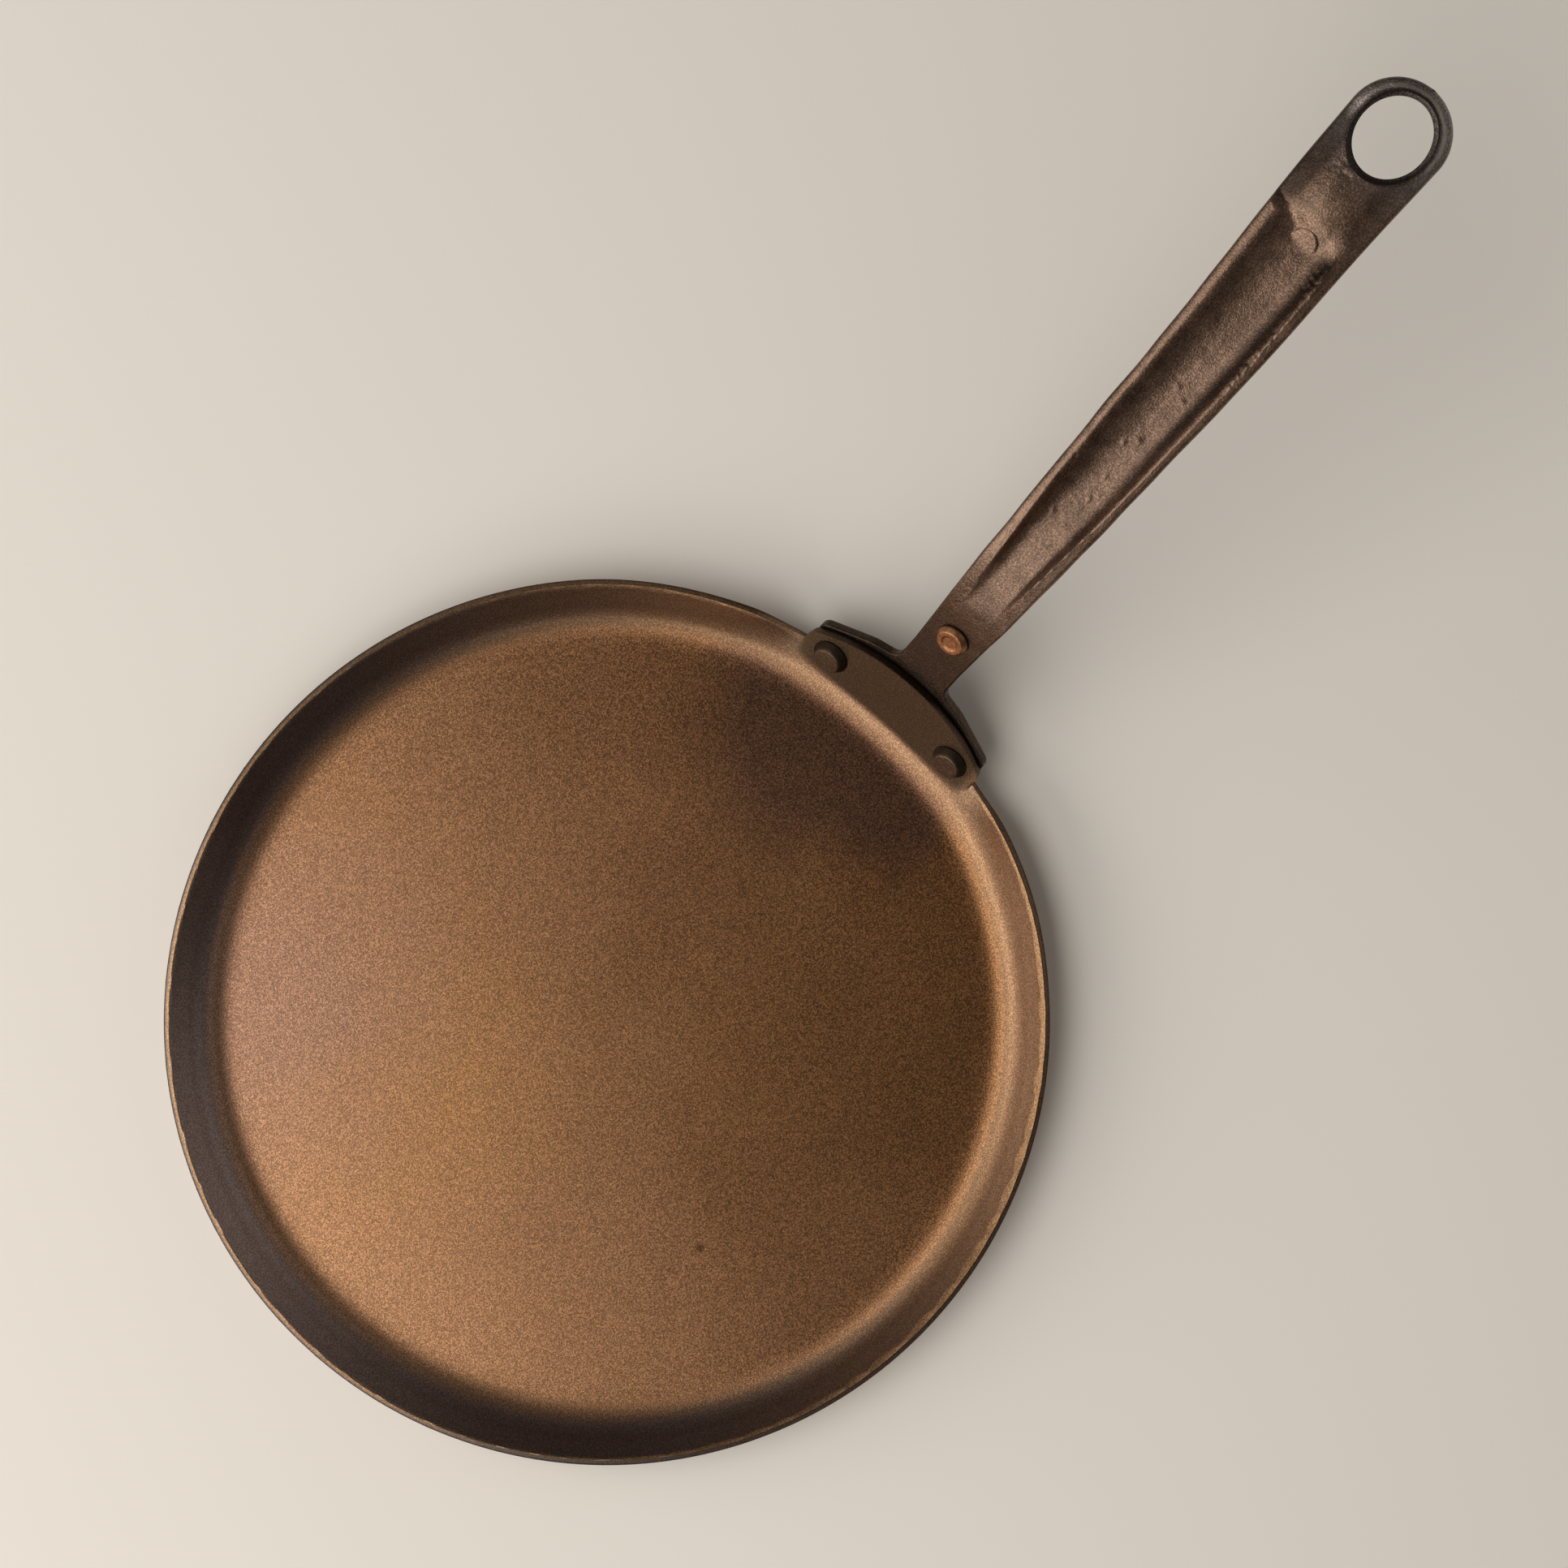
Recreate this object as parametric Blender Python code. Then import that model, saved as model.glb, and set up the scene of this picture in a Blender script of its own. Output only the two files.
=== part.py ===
"""A riveted pancake pan: pressed sheet pan, one-piece trough handle, three rivets.

Units are metres. +X runs from the pan's centre along the handle and +Z is up.
The origin is the centre of the flat underside.
"""

from math import asin, atan2, ceil, cos, hypot, pi, radians, sin, sqrt, tan

import bmesh
import bpy
from mathutils import Matrix, Vector

# Pan: pressed sheet with a flat floor, a bend and a sloping wall.
RIM_RADIUS = 0.120
PAN_HEIGHT = 0.0139
SHEET = 0.0023
WALL_SLOPE = radians(46)
FLOOR_BEND_RADIUS = 0.01835

# Ear: the flat stretch of wall that stands up behind the rivets.
EAR_SLOPE = radians(54)
EAR_CREASE_SLOPE = radians(36)
EAR_HALF_WIDTH = 0.0303
EAR_HEIGHT = 0.0206
EAR_NOTCH_HEIGHT = 0.0056
EAR_TOP_RADIUS = 0.048
EAR_CORNER_RADIUS = 0.004
WALL_BLEND_WIDTH = 0.016
RIM_DRAW_IN_ANGLE = radians(24)

# Fits between pieces.
SEAT_GAP = 0.0003
RIVET_CLEARANCE = 0.0003

# Handle: bracket plate, neck, trough grip and hanging ring, measured along its centre line.
PLATE_THICKNESS = 0.0026
BRACKET_SIDE_MARGIN = 0.0012
BRACKET_LOWER_EDGE = 0.0015
BRACKET_SHOULDER_HEIGHT = 0.0122
BRACKET_CORNER_RADIUS = 0.003
SHOULDER_KNEE_HALF_WIDTH = 0.0157
SHOULDER_KNEE_HEIGHT = 0.0200
SHOULDER_KNEE_RADIUS = 0.010
NECK_START_HEIGHT = 0.0225
NECK_FILLET_RADIUS = 0.0025
NECK_HALF_WIDTH = 0.0079
NECK_LENGTH = 0.0534
NECK_BEND_RADIUS = 0.071
GRIP_START_SLOPE = radians(20)
GRIP_BOW_RADIUS = 0.660
RING_SLOPE = radians(10)
TAPER_START = 0.034
TAPER_SWELL = 0.3
RING_OFFSET = 0.0119
RING_HALF_WIDTH = 0.0139
RING_HALF_LENGTH = 0.0139
RING_HOLE_SHIFT = 0.0014
RING_HOLE_HALF_WIDTH = 0.0094
RING_HOLE_HALF_LENGTH = 0.0107
RING_HOLE_BEVEL = 0.0018
EDGE_CHAMFER = 0.0007
TROUGH_START = 0.058
TROUGH_RUN_IN = 0.024
TROUGH_END = 0.192
TROUGH_RUN_OUT = 0.006
TROUGH_LIP_SWEEP = 0.004
TROUGH_DEPTH = 0.0040
RIB_WIDTH = 0.0032
RIB_HEIGHT = 0.0015
RIB_SIDE_FALL = 0.0012
GRIP_WALL = 0.0035
BOWL_POWER = 2.5
CROWN_FALL = 0.0022
RING_THICKNESS = 0.0055

# Rivets.
WALL_RIVET_SPACING = 0.043
WALL_RIVET_HEIGHT = 0.0072
WALL_RIVET_RADIUS = 0.0036
WALL_RIVET_END_RADIUS = 0.0040
WALL_RIVET_COLLAR_RADIUS = 0.0053
WALL_RIVET_STUB = 0.0027
WALL_RIVET_HEAD_RADIUS = 0.0066
WALL_RIVET_HEAD_HEIGHT = 0.0036
WALL_RIVET_EDGE = 0.0004
COPPER_PLACE = 0.0439
COPPER_SHANK_RADIUS = 0.0024
COPPER_HEAD_RADIUS = 0.0047
COPPER_HEAD_HEIGHT = 0.0019
COPPER_SIDE_HEIGHT = 0.0005
COPPER_BEVEL_WIDTH = 0.00095
COPPER_SHOULDER_WIDTH = 0.0003
COPPER_SHOULDER_DROP = 0.0006
COPPER_DISH_RADIUS = 0.0025
COPPER_DISH_DEPTH = 0.0004
COPPER_TAIL_RADIUS = 0.0036
COPPER_TAIL_HEIGHT = 0.0012

# Finishes: colour, metallic, roughness.
BRONZE_STEEL = ((0.19, 0.105, 0.055), 0.85, 0.42)
FORGED_STEEL = ((0.075, 0.045, 0.028), 0.75, 0.5)
RIVET_STEEL = ((0.10, 0.075, 0.055), 0.8, 0.45)
COPPER = ((0.55, 0.24, 0.12), 1.0, 0.3)

# Facets.
SHARP_ANGLE = radians(32)
RIM_STEP = radians(3.6)
EAR_STEP = 0.0024
BEND_ROWS = 6
WALL_ROWS = 3
FLOOR_MARGIN = 0.004
RIB_COLUMNS = 4
TROUGH_COLUMNS = 8
UNDERSIDE_COLUMNS = 10
GRIP_STEP = 0.005
LIP_STEP = 0.0015
ARC_STEP = radians(18)
RING_STEP = radians(9)
HOLE_SEGMENTS = 48
RIVET_SEGMENTS = 32
DOME_ROWS = 6
TAIL_ROWS = 4

# Places that follow from the sizes above.
INNER_RIM_RADIUS = RIM_RADIUS - SHEET * sin(WALL_SLOPE)
BEND_TOP_HEIGHT = SHEET + FLOOR_BEND_RADIUS * (1 - cos(WALL_SLOPE))
BEND_TOP_RADIUS = INNER_RIM_RADIUS - (PAN_HEIGHT - BEND_TOP_HEIGHT) / tan(WALL_SLOPE)
FLOOR_RADIUS = BEND_TOP_RADIUS - FLOOR_BEND_RADIUS * sin(WALL_SLOPE)
CREASE_X = FLOOR_RADIUS + FLOOR_BEND_RADIUS * sin(EAR_CREASE_SLOPE)
CREASE_Z = SHEET + FLOOR_BEND_RADIUS * (1 - cos(EAR_CREASE_SLOPE))
FLAT_ANGLE = atan2(EAR_HALF_WIDTH - EAR_CORNER_RADIUS, CREASE_X)
ROUND_ANGLE = atan2(EAR_HALF_WIDTH + WALL_BLEND_WIDTH, CREASE_X)
BRACKET_HALF_WIDTH = EAR_HALF_WIDTH - BRACKET_SIDE_MARGIN
NECK_BEND_END = NECK_LENGTH + NECK_BEND_RADIUS * (EAR_SLOPE - GRIP_START_SLOPE)
GRIP_END = NECK_BEND_END + GRIP_BOW_RADIUS * (GRIP_START_SLOPE - RING_SLOPE)
RING_CENTRE = GRIP_END + RING_OFFSET


def smooth(value):
    """0 below 0, 1 above 1, and a soft step between them."""
    value = min(max(value, 0.0), 1.0)
    return value * value * (3 - 2 * value)


def blend(start, end, share):
    return start + (end - start) * share


def rounded_outline(corners, step=ARC_STEP):
    """Points along straight runs through (x, y, radius) corners, with each corner rounded."""
    points = [Vector(corners[0][:2])]
    for before, corner, after in zip(corners, corners[1:], corners[2:]):
        here = Vector(corner[:2])
        back = (Vector(before[:2]) - here).normalized()
        ahead = (Vector(after[:2]) - here).normalized()
        half_angle = back.angle(ahead) / 2
        centre = here + (back + ahead).normalized() * corner[2] / sin(half_angle)
        first = here + back * corner[2] / tan(half_angle) - centre
        turn = first.angle_signed(here + ahead * corner[2] / tan(half_angle) - centre)
        count = ceil(abs(turn) / step)
        for index in range(count + 1):
            points.append(centre + Matrix.Rotation(-turn * index / count, 2) @ first)
    points.append(Vector(corners[-1][:2]))
    return points


def new_object(name, bm, material):
    mesh = bpy.data.meshes.new(name)
    bm.to_mesh(mesh)
    bm.free()
    mesh.shade_smooth()
    mesh.set_sharp_from_angle(angle=SHARP_ANGLE)
    mesh.materials.append(material)
    obj = bpy.data.objects.new(name, mesh)
    bpy.context.scene.collection.objects.link(obj)
    return obj


def new_material(name, colour, metallic, roughness):
    material = bpy.data.materials.new(name)
    material.use_nodes = True
    shader = material.node_tree.nodes["Principled BSDF"]
    shader.inputs["Base Color"].default_value = (*colour, 1)
    shader.inputs["Metallic"].default_value = metallic
    shader.inputs["Roughness"].default_value = roughness
    return material


def new_cutter(name, bm):
    cutter = new_object(name, bm, None)
    cutter.hide_render = True
    cutter.display_type = "WIRE"
    return cutter


def cut(obj, cutter):
    modifier = obj.modifiers.new(cutter.name, "BOOLEAN")
    modifier.operation = "DIFFERENCE"
    modifier.object = cutter


def add_rings(bm, rings):
    """Vertices for each closed ring of points, joined ring to ring by quads."""
    loops = [[bm.verts.new(point) for point in ring] for ring in rings]
    for lower, upper in zip(loops, loops[1:]):
        for index in range(len(lower)):
            following = (index + 1) % len(lower)
            bm.faces.new((lower[index], lower[following], upper[following], upper[index]))
    return loops


def turned(profile, segments):
    """A solid turned about Z from (radius, height) points that start and end on the axis."""
    bm = bmesh.new()
    verts = [bm.verts.new((radius, 0, height)) for radius, height in profile]
    edges = [bm.edges.new(pair) for pair in zip(verts, verts[1:])]
    bmesh.ops.spin(
        bm,
        geom=verts + edges,
        cent=(0, 0, 0),
        axis=(0, 0, 1),
        angle=2 * pi,
        steps=segments,
        use_merge=True,
    )
    bmesh.ops.remove_doubles(bm, verts=bm.verts, dist=1e-6)
    bmesh.ops.recalc_face_normals(bm, faces=bm.faces)
    return bm


def ear_point(across, up, depth=0.0):
    """A point of the ear's plane: across Y, up its slope from the crease, depth outward."""
    return Vector(
        (
            CREASE_X + up * cos(EAR_SLOPE) + depth * sin(EAR_SLOPE),
            across,
            CREASE_Z + up * sin(EAR_SLOPE) - depth * cos(EAR_SLOPE),
        )
    )


def ear_outline():
    """(across, up) points of half the ear's edge, from the middle of its top to the notch."""
    arch_centre = EAR_HEIGHT - EAR_TOP_RADIUS
    corner_across = EAR_HALF_WIDTH - EAR_CORNER_RADIUS
    reach = EAR_TOP_RADIUS - EAR_CORNER_RADIUS
    corner_up = arch_centre + sqrt(reach**2 - corner_across**2)
    arch_angle = asin(corner_across / reach)
    points = []
    count = ceil(EAR_TOP_RADIUS * arch_angle / EAR_STEP)
    for index in range(count):
        angle = arch_angle * index / count
        points.append((EAR_TOP_RADIUS * sin(angle), arch_centre + EAR_TOP_RADIUS * cos(angle)))
    count = ceil((pi / 2 - arch_angle) / ARC_STEP)
    for index in range(count + 1):
        angle = blend(arch_angle, pi / 2, index / count)
        across = corner_across + EAR_CORNER_RADIUS * sin(angle)
        points.append((across, corner_up + EAR_CORNER_RADIUS * cos(angle)))
    points.append((EAR_HALF_WIDTH, EAR_NOTCH_HEIGHT))
    return points


def rim_point(angle):
    """The inner rim corner at an azimuth. The rim dips and draws in beside the ear's notch."""
    notch = ear_point(EAR_HALF_WIDTH, EAR_NOTCH_HEIGHT)
    notch_angle = atan2(notch.y, notch.x)
    past = abs(angle) - notch_angle
    radius = blend(hypot(notch.x, notch.y), INNER_RIM_RADIUS, smooth(past / RIM_DRAW_IN_ANGLE))
    height = blend(notch.z, PAN_HEIGHT, smooth(past / (ROUND_ANGLE - notch_angle)))
    return Vector((radius * cos(angle), radius * sin(angle), height))


def sheet_columns():
    """(azimuth of the bend, top point) for each column round the pan, ear first."""
    outline = ear_outline()
    lengths = [0.0]
    for before, after in zip(outline, outline[1:]):
        lengths.append(lengths[-1] + hypot(after[0] - before[0], after[1] - before[1]))
    half = []
    for length, (across, up) in zip(lengths, outline):
        foot = EAR_HALF_WIDTH * length / lengths[-1]
        half.append((atan2(foot, CREASE_X), ear_point(across, up)))
    notch = half[-1][1]
    start = atan2(notch.y, notch.x)
    near = ceil((ROUND_ANGLE - start) / (RIM_STEP / 2))
    for index in range(1, near + 1):
        angle = blend(start, ROUND_ANGLE, index / near)
        half.append((angle, rim_point(angle)))
    far = ceil((pi - ROUND_ANGLE) / RIM_STEP)
    for index in range(1, far + 1):
        angle = blend(ROUND_ANGLE, pi, index / far)
        half.append((angle, rim_point(angle)))
    other = [(-angle, Vector((top.x, -top.y, top.z))) for angle, top in half[1:-1]]
    return half + other[::-1]


def bend_column(angle):
    """The inner surface up the bend at one azimuth, and its end at the wall's foot."""
    flat = 1 - smooth((abs(angle) - FLAT_ANGLE) / (ROUND_ANGLE - FLAT_ANGLE))
    radius, height, slope = BEND_TOP_RADIUS, BEND_TOP_HEIGHT, WALL_SLOPE
    if flat > 0:
        radius = blend(radius, CREASE_X / cos(angle), flat)
        height = blend(height, CREASE_Z, flat)
        slope = blend(slope, EAR_CREASE_SLOPE, flat)
    points = []
    for row in range(BEND_ROWS + 1):
        turn = slope * row / BEND_ROWS
        out = blend(FLOOR_RADIUS, radius, sin(turn) / sin(slope))
        up = blend(SHEET, height, (1 - cos(turn)) / (1 - cos(slope)))
        points.append(Vector((out * cos(angle), out * sin(angle), up)))
    return points


def pan_body(material):
    columns = []
    for angle, top in sheet_columns():
        reach = FLOOR_RADIUS - FLOOR_MARGIN
        column = [Vector((reach * cos(angle), reach * sin(angle), SHEET))]
        column += bend_column(angle)
        foot = column[-1]
        column += [foot.lerp(top, row / WALL_ROWS) for row in range(1, WALL_ROWS + 1)]
        columns.append(column)
    bm = bmesh.new()
    rings = add_rings(bm, zip(*columns))
    bm.faces.new(rings[0][::-1])
    pan = new_object("pan_body", bm, material)
    solidify = pan.modifiers.new("sheet", "SOLIDIFY")
    solidify.thickness = SHEET
    solidify.offset = 1
    solidify.use_even_offset = True
    return pan


def path_point(along):
    """(x, z, slope) of the handle's top line at a distance along it."""
    start = ear_point(0, 0, SHEET + SEAT_GAP)
    straight = min(along, NECK_LENGTH)
    x = start.x + straight * cos(EAR_SLOPE)
    z = start.z + straight * sin(EAR_SLOPE)
    slope = EAR_SLOPE
    bends = (
        (NECK_LENGTH, NECK_BEND_END, NECK_BEND_RADIUS),
        (NECK_BEND_END, GRIP_END, GRIP_BOW_RADIUS),
    )
    for begin, end, radius in bends:
        turn = (min(max(along, begin), end) - begin) / radius
        x += radius * (sin(slope) - sin(slope - turn))
        z += radius * (cos(slope - turn) - cos(slope))
        slope -= turn
    rest = max(along - GRIP_END, 0)
    return x + rest * cos(slope), z + rest * sin(slope), slope


def handle_point(along, across, up):
    """A point of the handle: along its top line, across Y, up square to the line."""
    x, z, slope = path_point(along)
    return Vector((x - up * sin(slope), across, z + up * cos(slope)))


def handle_frame(along, up):
    """Axes at a place on the handle: X along it, Y across, Z square to its top."""
    slope = path_point(along)[2]
    turn = Matrix.Rotation(-slope, 4, "Y")
    return Matrix.Translation(handle_point(along, 0, up)) @ turn


def taper_half_width(along):
    share = (along - TAPER_START) / (RING_CENTRE - TAPER_START)
    share = min(max(share, 0.0), 1.0)
    share *= 1 + TAPER_SWELL * (1 - share)
    return blend(NECK_HALF_WIDTH, RING_HALF_WIDTH, share)


def grip_stations():
    """Distances along the grip, close together where the trough's lip rises."""
    lip_start = TROUGH_END - TROUGH_LIP_SWEEP - TROUGH_RUN_OUT
    runs = (
        (TAPER_START, lip_start, GRIP_STEP),
        (lip_start, TROUGH_END, LIP_STEP),
        (TROUGH_END, RING_CENTRE, GRIP_STEP),
    )
    stations = []
    for start, end, step in runs:
        count = ceil((end - start) / step)
        stations += [blend(start, end, index / count) for index in range(1, count + 1)]
    return stations


def handle_outline():
    """(along, half width) of the handle from the bracket's lower edge to the ring's tip."""
    lower = BRACKET_LOWER_EDGE
    outline = rounded_outline(
        (
            (lower, 0, 0),
            (lower, BRACKET_HALF_WIDTH, BRACKET_CORNER_RADIUS),
            (BRACKET_SHOULDER_HEIGHT, BRACKET_HALF_WIDTH, BRACKET_CORNER_RADIUS),
            (SHOULDER_KNEE_HEIGHT, SHOULDER_KNEE_HALF_WIDTH, SHOULDER_KNEE_RADIUS),
            (NECK_START_HEIGHT, NECK_HALF_WIDTH, NECK_FILLET_RADIUS),
            (TAPER_START, NECK_HALF_WIDTH, 0),
        )
    )
    points = [(point.x, point.y) for point in outline[1:]]
    points += [(along, taper_half_width(along)) for along in grip_stations()]
    count = ceil(pi / 2 / RING_STEP)
    for index in range(1, count):
        angle = pi / 2 * index / count
        along = RING_CENTRE + RING_HALF_LENGTH * sin(angle)
        points.append((along, RING_HALF_WIDTH * cos(angle)))
    return points


def rib_share(along):
    """The share of the half width that lies between the ribs."""
    return 1 - RIB_WIDTH / taper_half_width(along)


def edge_share(along, across):
    """0 on the middle line and 1 at the outline, also round the ring's end."""
    past = max(along - RING_CENTRE, 0) / RING_HALF_LENGTH
    return hypot(across / taper_half_width(along), past)


def top_height(along, across):
    """The top face above the top line: flat neck, trough between ribs, crowned ring."""
    share = edge_share(along, across)
    inner = rib_share(along)
    if share < inner:
        trough = RIB_HEIGHT - TROUGH_DEPTH + (TROUGH_DEPTH - RIB_SIDE_FALL) * (share / inner) ** 2
    else:
        trough = RIB_HEIGHT - RIB_SIDE_FALL * abs(2 * (share - inner) / (1 - inner) - 1) ** 2
    crown = RIB_HEIGHT - CROWN_FALL * share**2
    begun = smooth((along - TROUGH_START) / TROUGH_RUN_IN)
    lip = TROUGH_END - TROUGH_LIP_SWEEP * share**2
    return begun * blend(trough, crown, smooth((along - lip) / TROUGH_RUN_OUT + 1))


def bottom_height(along, across):
    """The underside below the top line: flat plate, deep U under the trough, flat ring."""
    share = min(edge_share(along, across), 1)
    deepest = TROUGH_DEPTH - RIB_HEIGHT + GRIP_WALL
    bowl = -PLATE_THICKNESS - (deepest - PLATE_THICKNESS) * (1 - share**BOWL_POWER)
    ring = RIB_HEIGHT - RING_THICKNESS
    begun = smooth((along - TROUGH_START) / TROUGH_RUN_IN)
    ended = smooth((along - TROUGH_END + TROUGH_RUN_OUT) / (RING_CENTRE - TROUGH_END))
    return blend(-PLATE_THICKNESS, blend(bowl, ring, ended), begun)


def handle_section(along, half_width, edge):
    """One closed ring of points round the handle, with its edges chamfered by edge."""
    reach = half_width - min(edge, half_width / 2)
    inner = rib_share(along)
    rib = [blend(inner, 1, index / RIB_COLUMNS) for index in range(1, RIB_COLUMNS + 1)]
    middle = [inner * (2 * index / TROUGH_COLUMNS - 1) for index in range(TROUGH_COLUMNS + 1)]
    top = [-share for share in reversed(rib)] + middle + rib
    ring = [(share * reach, top_height(along, share * reach)) for share in top]
    high = ring[-1][1]
    low = bottom_height(along, reach)
    side = min(edge, (high - low) / 3)
    ring += [(half_width, high - side), (half_width, low + side)]
    for index in range(UNDERSIDE_COLUMNS + 1):
        across = reach * (1 - 2 * index / UNDERSIDE_COLUMNS)
        ring.append((across, bottom_height(along, across)))
    ring += [(-half_width, low + side), (-half_width, high - side)]
    return [handle_point(along, across, up) for across, up in ring]


def ring_hole_cutter():
    """An oval plug, wider at both mouths, that stands square through the ring."""
    bm = bmesh.new()
    clear = 2 * RING_THICKNESS
    steps = (
        (RIB_HEIGHT + clear, clear + RING_HOLE_BEVEL),
        (RIB_HEIGHT - RING_HOLE_BEVEL, 0),
        (RIB_HEIGHT - RING_THICKNESS + RING_HOLE_BEVEL, 0),
        (RIB_HEIGHT - RING_THICKNESS - clear, clear + RING_HOLE_BEVEL),
    )
    rings = []
    for up, flare in steps:
        ring = []
        for index in range(HOLE_SEGMENTS):
            angle = 2 * pi * index / HOLE_SEGMENTS
            along = (RING_HOLE_HALF_LENGTH + flare) * cos(angle)
            ring.append((along, (RING_HOLE_HALF_WIDTH + flare) * sin(angle), up))
        rings.append(ring)
    loops = add_rings(bm, rings)
    bm.faces.new(loops[0])
    bm.faces.new(loops[-1])
    bmesh.ops.recalc_face_normals(bm, faces=bm.faces)
    cutter = new_cutter("ring_hole", bm)
    cutter.matrix_world = handle_frame(RING_CENTRE - RING_HOLE_SHIFT, 0)
    return cutter


def handle(material):
    outline = handle_outline()
    rings = [handle_section(along, half_width, EDGE_CHAMFER) for along, half_width in outline]
    bm = bmesh.new()
    loops = add_rings(bm, rings)
    bm.faces.new(loops[0])
    bm.faces.new(loops[-1])
    bmesh.ops.recalc_face_normals(bm, faces=bm.faces)
    grip = new_object("handle", bm, material)
    cut(grip, ring_hole_cutter())
    return grip


def wall_rivet_frame(side):
    """Axes at one wall rivet: origin on the ear's inner face, Z outward through the ear."""
    place = ear_point(side * WALL_RIVET_SPACING / 2, WALL_RIVET_HEIGHT)
    outward = Vector((sin(EAR_SLOPE), 0, -cos(EAR_SLOPE)))
    return Matrix.Translation(place) @ outward.to_track_quat("Z", "Y").to_matrix().to_4x4()


def hole_cutter(name, frame, radius, low, high):
    bm = turned(((0, low), (radius, low), (radius, high), (0, high)), RIVET_SEGMENTS)
    cutter = new_cutter(name, bm)
    cutter.matrix_world = frame
    return cutter


def dome(radius, base, height, rows):
    """(radius, height) points over a domed head, from its edge to its top on the axis."""
    ball = (radius**2 + height**2) / (2 * height)
    opening = asin(min(radius / ball, 1))
    points = []
    for row in range(rows + 1):
        angle = opening * (1 - row / rows)
        points.append((ball * sin(angle), base + height - ball + ball * cos(angle)))
    return points


def wall_rivet(name, side, material):
    seat = SHEET + SEAT_GAP + PLATE_THICKNESS + SEAT_GAP
    profile = [
        (0, -WALL_RIVET_STUB),
        (WALL_RIVET_END_RADIUS - WALL_RIVET_EDGE, -WALL_RIVET_STUB),
        (WALL_RIVET_END_RADIUS, -WALL_RIVET_STUB + WALL_RIVET_EDGE),
        (WALL_RIVET_COLLAR_RADIUS, -SEAT_GAP),
        (WALL_RIVET_RADIUS, -SEAT_GAP),
        (WALL_RIVET_RADIUS, seat),
    ]
    profile += dome(WALL_RIVET_HEAD_RADIUS, seat, WALL_RIVET_HEAD_HEIGHT, DOME_ROWS)
    rivet = new_object(name, turned(profile, RIVET_SEGMENTS), material)
    rivet.matrix_world = wall_rivet_frame(side)
    return rivet


def copper_rivet(material):
    seat = SEAT_GAP
    face = seat + COPPER_HEAD_HEIGHT
    tail = -PLATE_THICKNESS - SEAT_GAP
    profile = [
        (0, face - COPPER_DISH_DEPTH),
        (COPPER_DISH_RADIUS - COPPER_DISH_DEPTH, face - COPPER_DISH_DEPTH),
        (COPPER_DISH_RADIUS, face),
        (COPPER_HEAD_RADIUS - COPPER_BEVEL_WIDTH, face),
        (COPPER_HEAD_RADIUS - COPPER_SHOULDER_WIDTH, face - COPPER_SHOULDER_DROP),
        (COPPER_HEAD_RADIUS, seat + COPPER_SIDE_HEIGHT),
        (COPPER_HEAD_RADIUS, seat),
        (COPPER_SHANK_RADIUS, seat),
        (COPPER_SHANK_RADIUS, tail),
    ]
    closed_end = dome(COPPER_TAIL_RADIUS, 0, COPPER_TAIL_HEIGHT, TAIL_ROWS)
    profile += [(radius, tail - height) for radius, height in closed_end]
    rivet = new_object("copper_rivet", turned(profile, RIVET_SEGMENTS), material)
    rivet.matrix_world = handle_frame(COPPER_PLACE, 0)
    return rivet


def build():
    for obj in list(bpy.data.objects):
        bpy.data.objects.remove(obj, do_unlink=True)
    pan = pan_body(new_material("seasoned_steel", *BRONZE_STEEL))
    grip = handle(new_material("handle_steel", *FORGED_STEEL))
    rivet_steel = new_material("rivet_steel", *RIVET_STEEL)
    bore = WALL_RIVET_RADIUS + RIVET_CLEARANCE
    through = SHEET + SEAT_GAP + PLATE_THICKNESS
    for side, name in ((1, "left"), (-1, "right")):
        frame = wall_rivet_frame(side)
        cutter = hole_cutter(f"{name}_rivet_hole", frame, bore, -SHEET, through + SHEET)
        cut(pan, cutter)
        cut(grip, cutter)
        wall_rivet(f"wall_rivet_{name}", side, rivet_steel)
    copper_bore = COPPER_SHANK_RADIUS + RIVET_CLEARANCE
    frame = handle_frame(COPPER_PLACE, 0)
    low = -2 * PLATE_THICKNESS
    cut(grip, hole_cutter("copper_rivet_hole", frame, copper_bore, low, PLATE_THICKNESS))
    copper_rivet(new_material("copper", *COPPER))


build()
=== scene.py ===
"""Looks and setting of a riveted pancake pan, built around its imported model.

Units are metres. +X runs from the pan's centre along the handle and +Z is up.
"""

from math import asin, atan2, ceil, cos, degrees, hypot, pi, radians, sin, sqrt, tan

import bmesh
import bpy
import numpy as np
from mathutils import Matrix, Vector, noise


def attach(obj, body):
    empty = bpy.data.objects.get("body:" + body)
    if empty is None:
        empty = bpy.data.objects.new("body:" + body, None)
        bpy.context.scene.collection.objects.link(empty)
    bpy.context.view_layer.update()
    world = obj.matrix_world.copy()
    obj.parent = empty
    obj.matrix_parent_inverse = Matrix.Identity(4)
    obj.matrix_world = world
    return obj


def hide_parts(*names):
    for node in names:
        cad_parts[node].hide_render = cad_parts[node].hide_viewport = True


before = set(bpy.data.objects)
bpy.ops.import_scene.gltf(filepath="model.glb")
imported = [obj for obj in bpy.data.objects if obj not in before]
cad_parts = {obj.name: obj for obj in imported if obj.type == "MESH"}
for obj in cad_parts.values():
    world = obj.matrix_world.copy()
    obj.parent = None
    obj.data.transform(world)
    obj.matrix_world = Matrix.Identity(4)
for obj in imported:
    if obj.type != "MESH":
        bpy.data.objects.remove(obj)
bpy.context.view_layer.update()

# Pan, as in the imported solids.
SHEET = 0.0023
RIM_RADIUS = 0.120
PAN_HEIGHT = 0.0139
WALL_SLOPE = radians(46)
FLOOR_BEND_RADIUS = 0.01835
EAR_SLOPE = radians(54)
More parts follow.
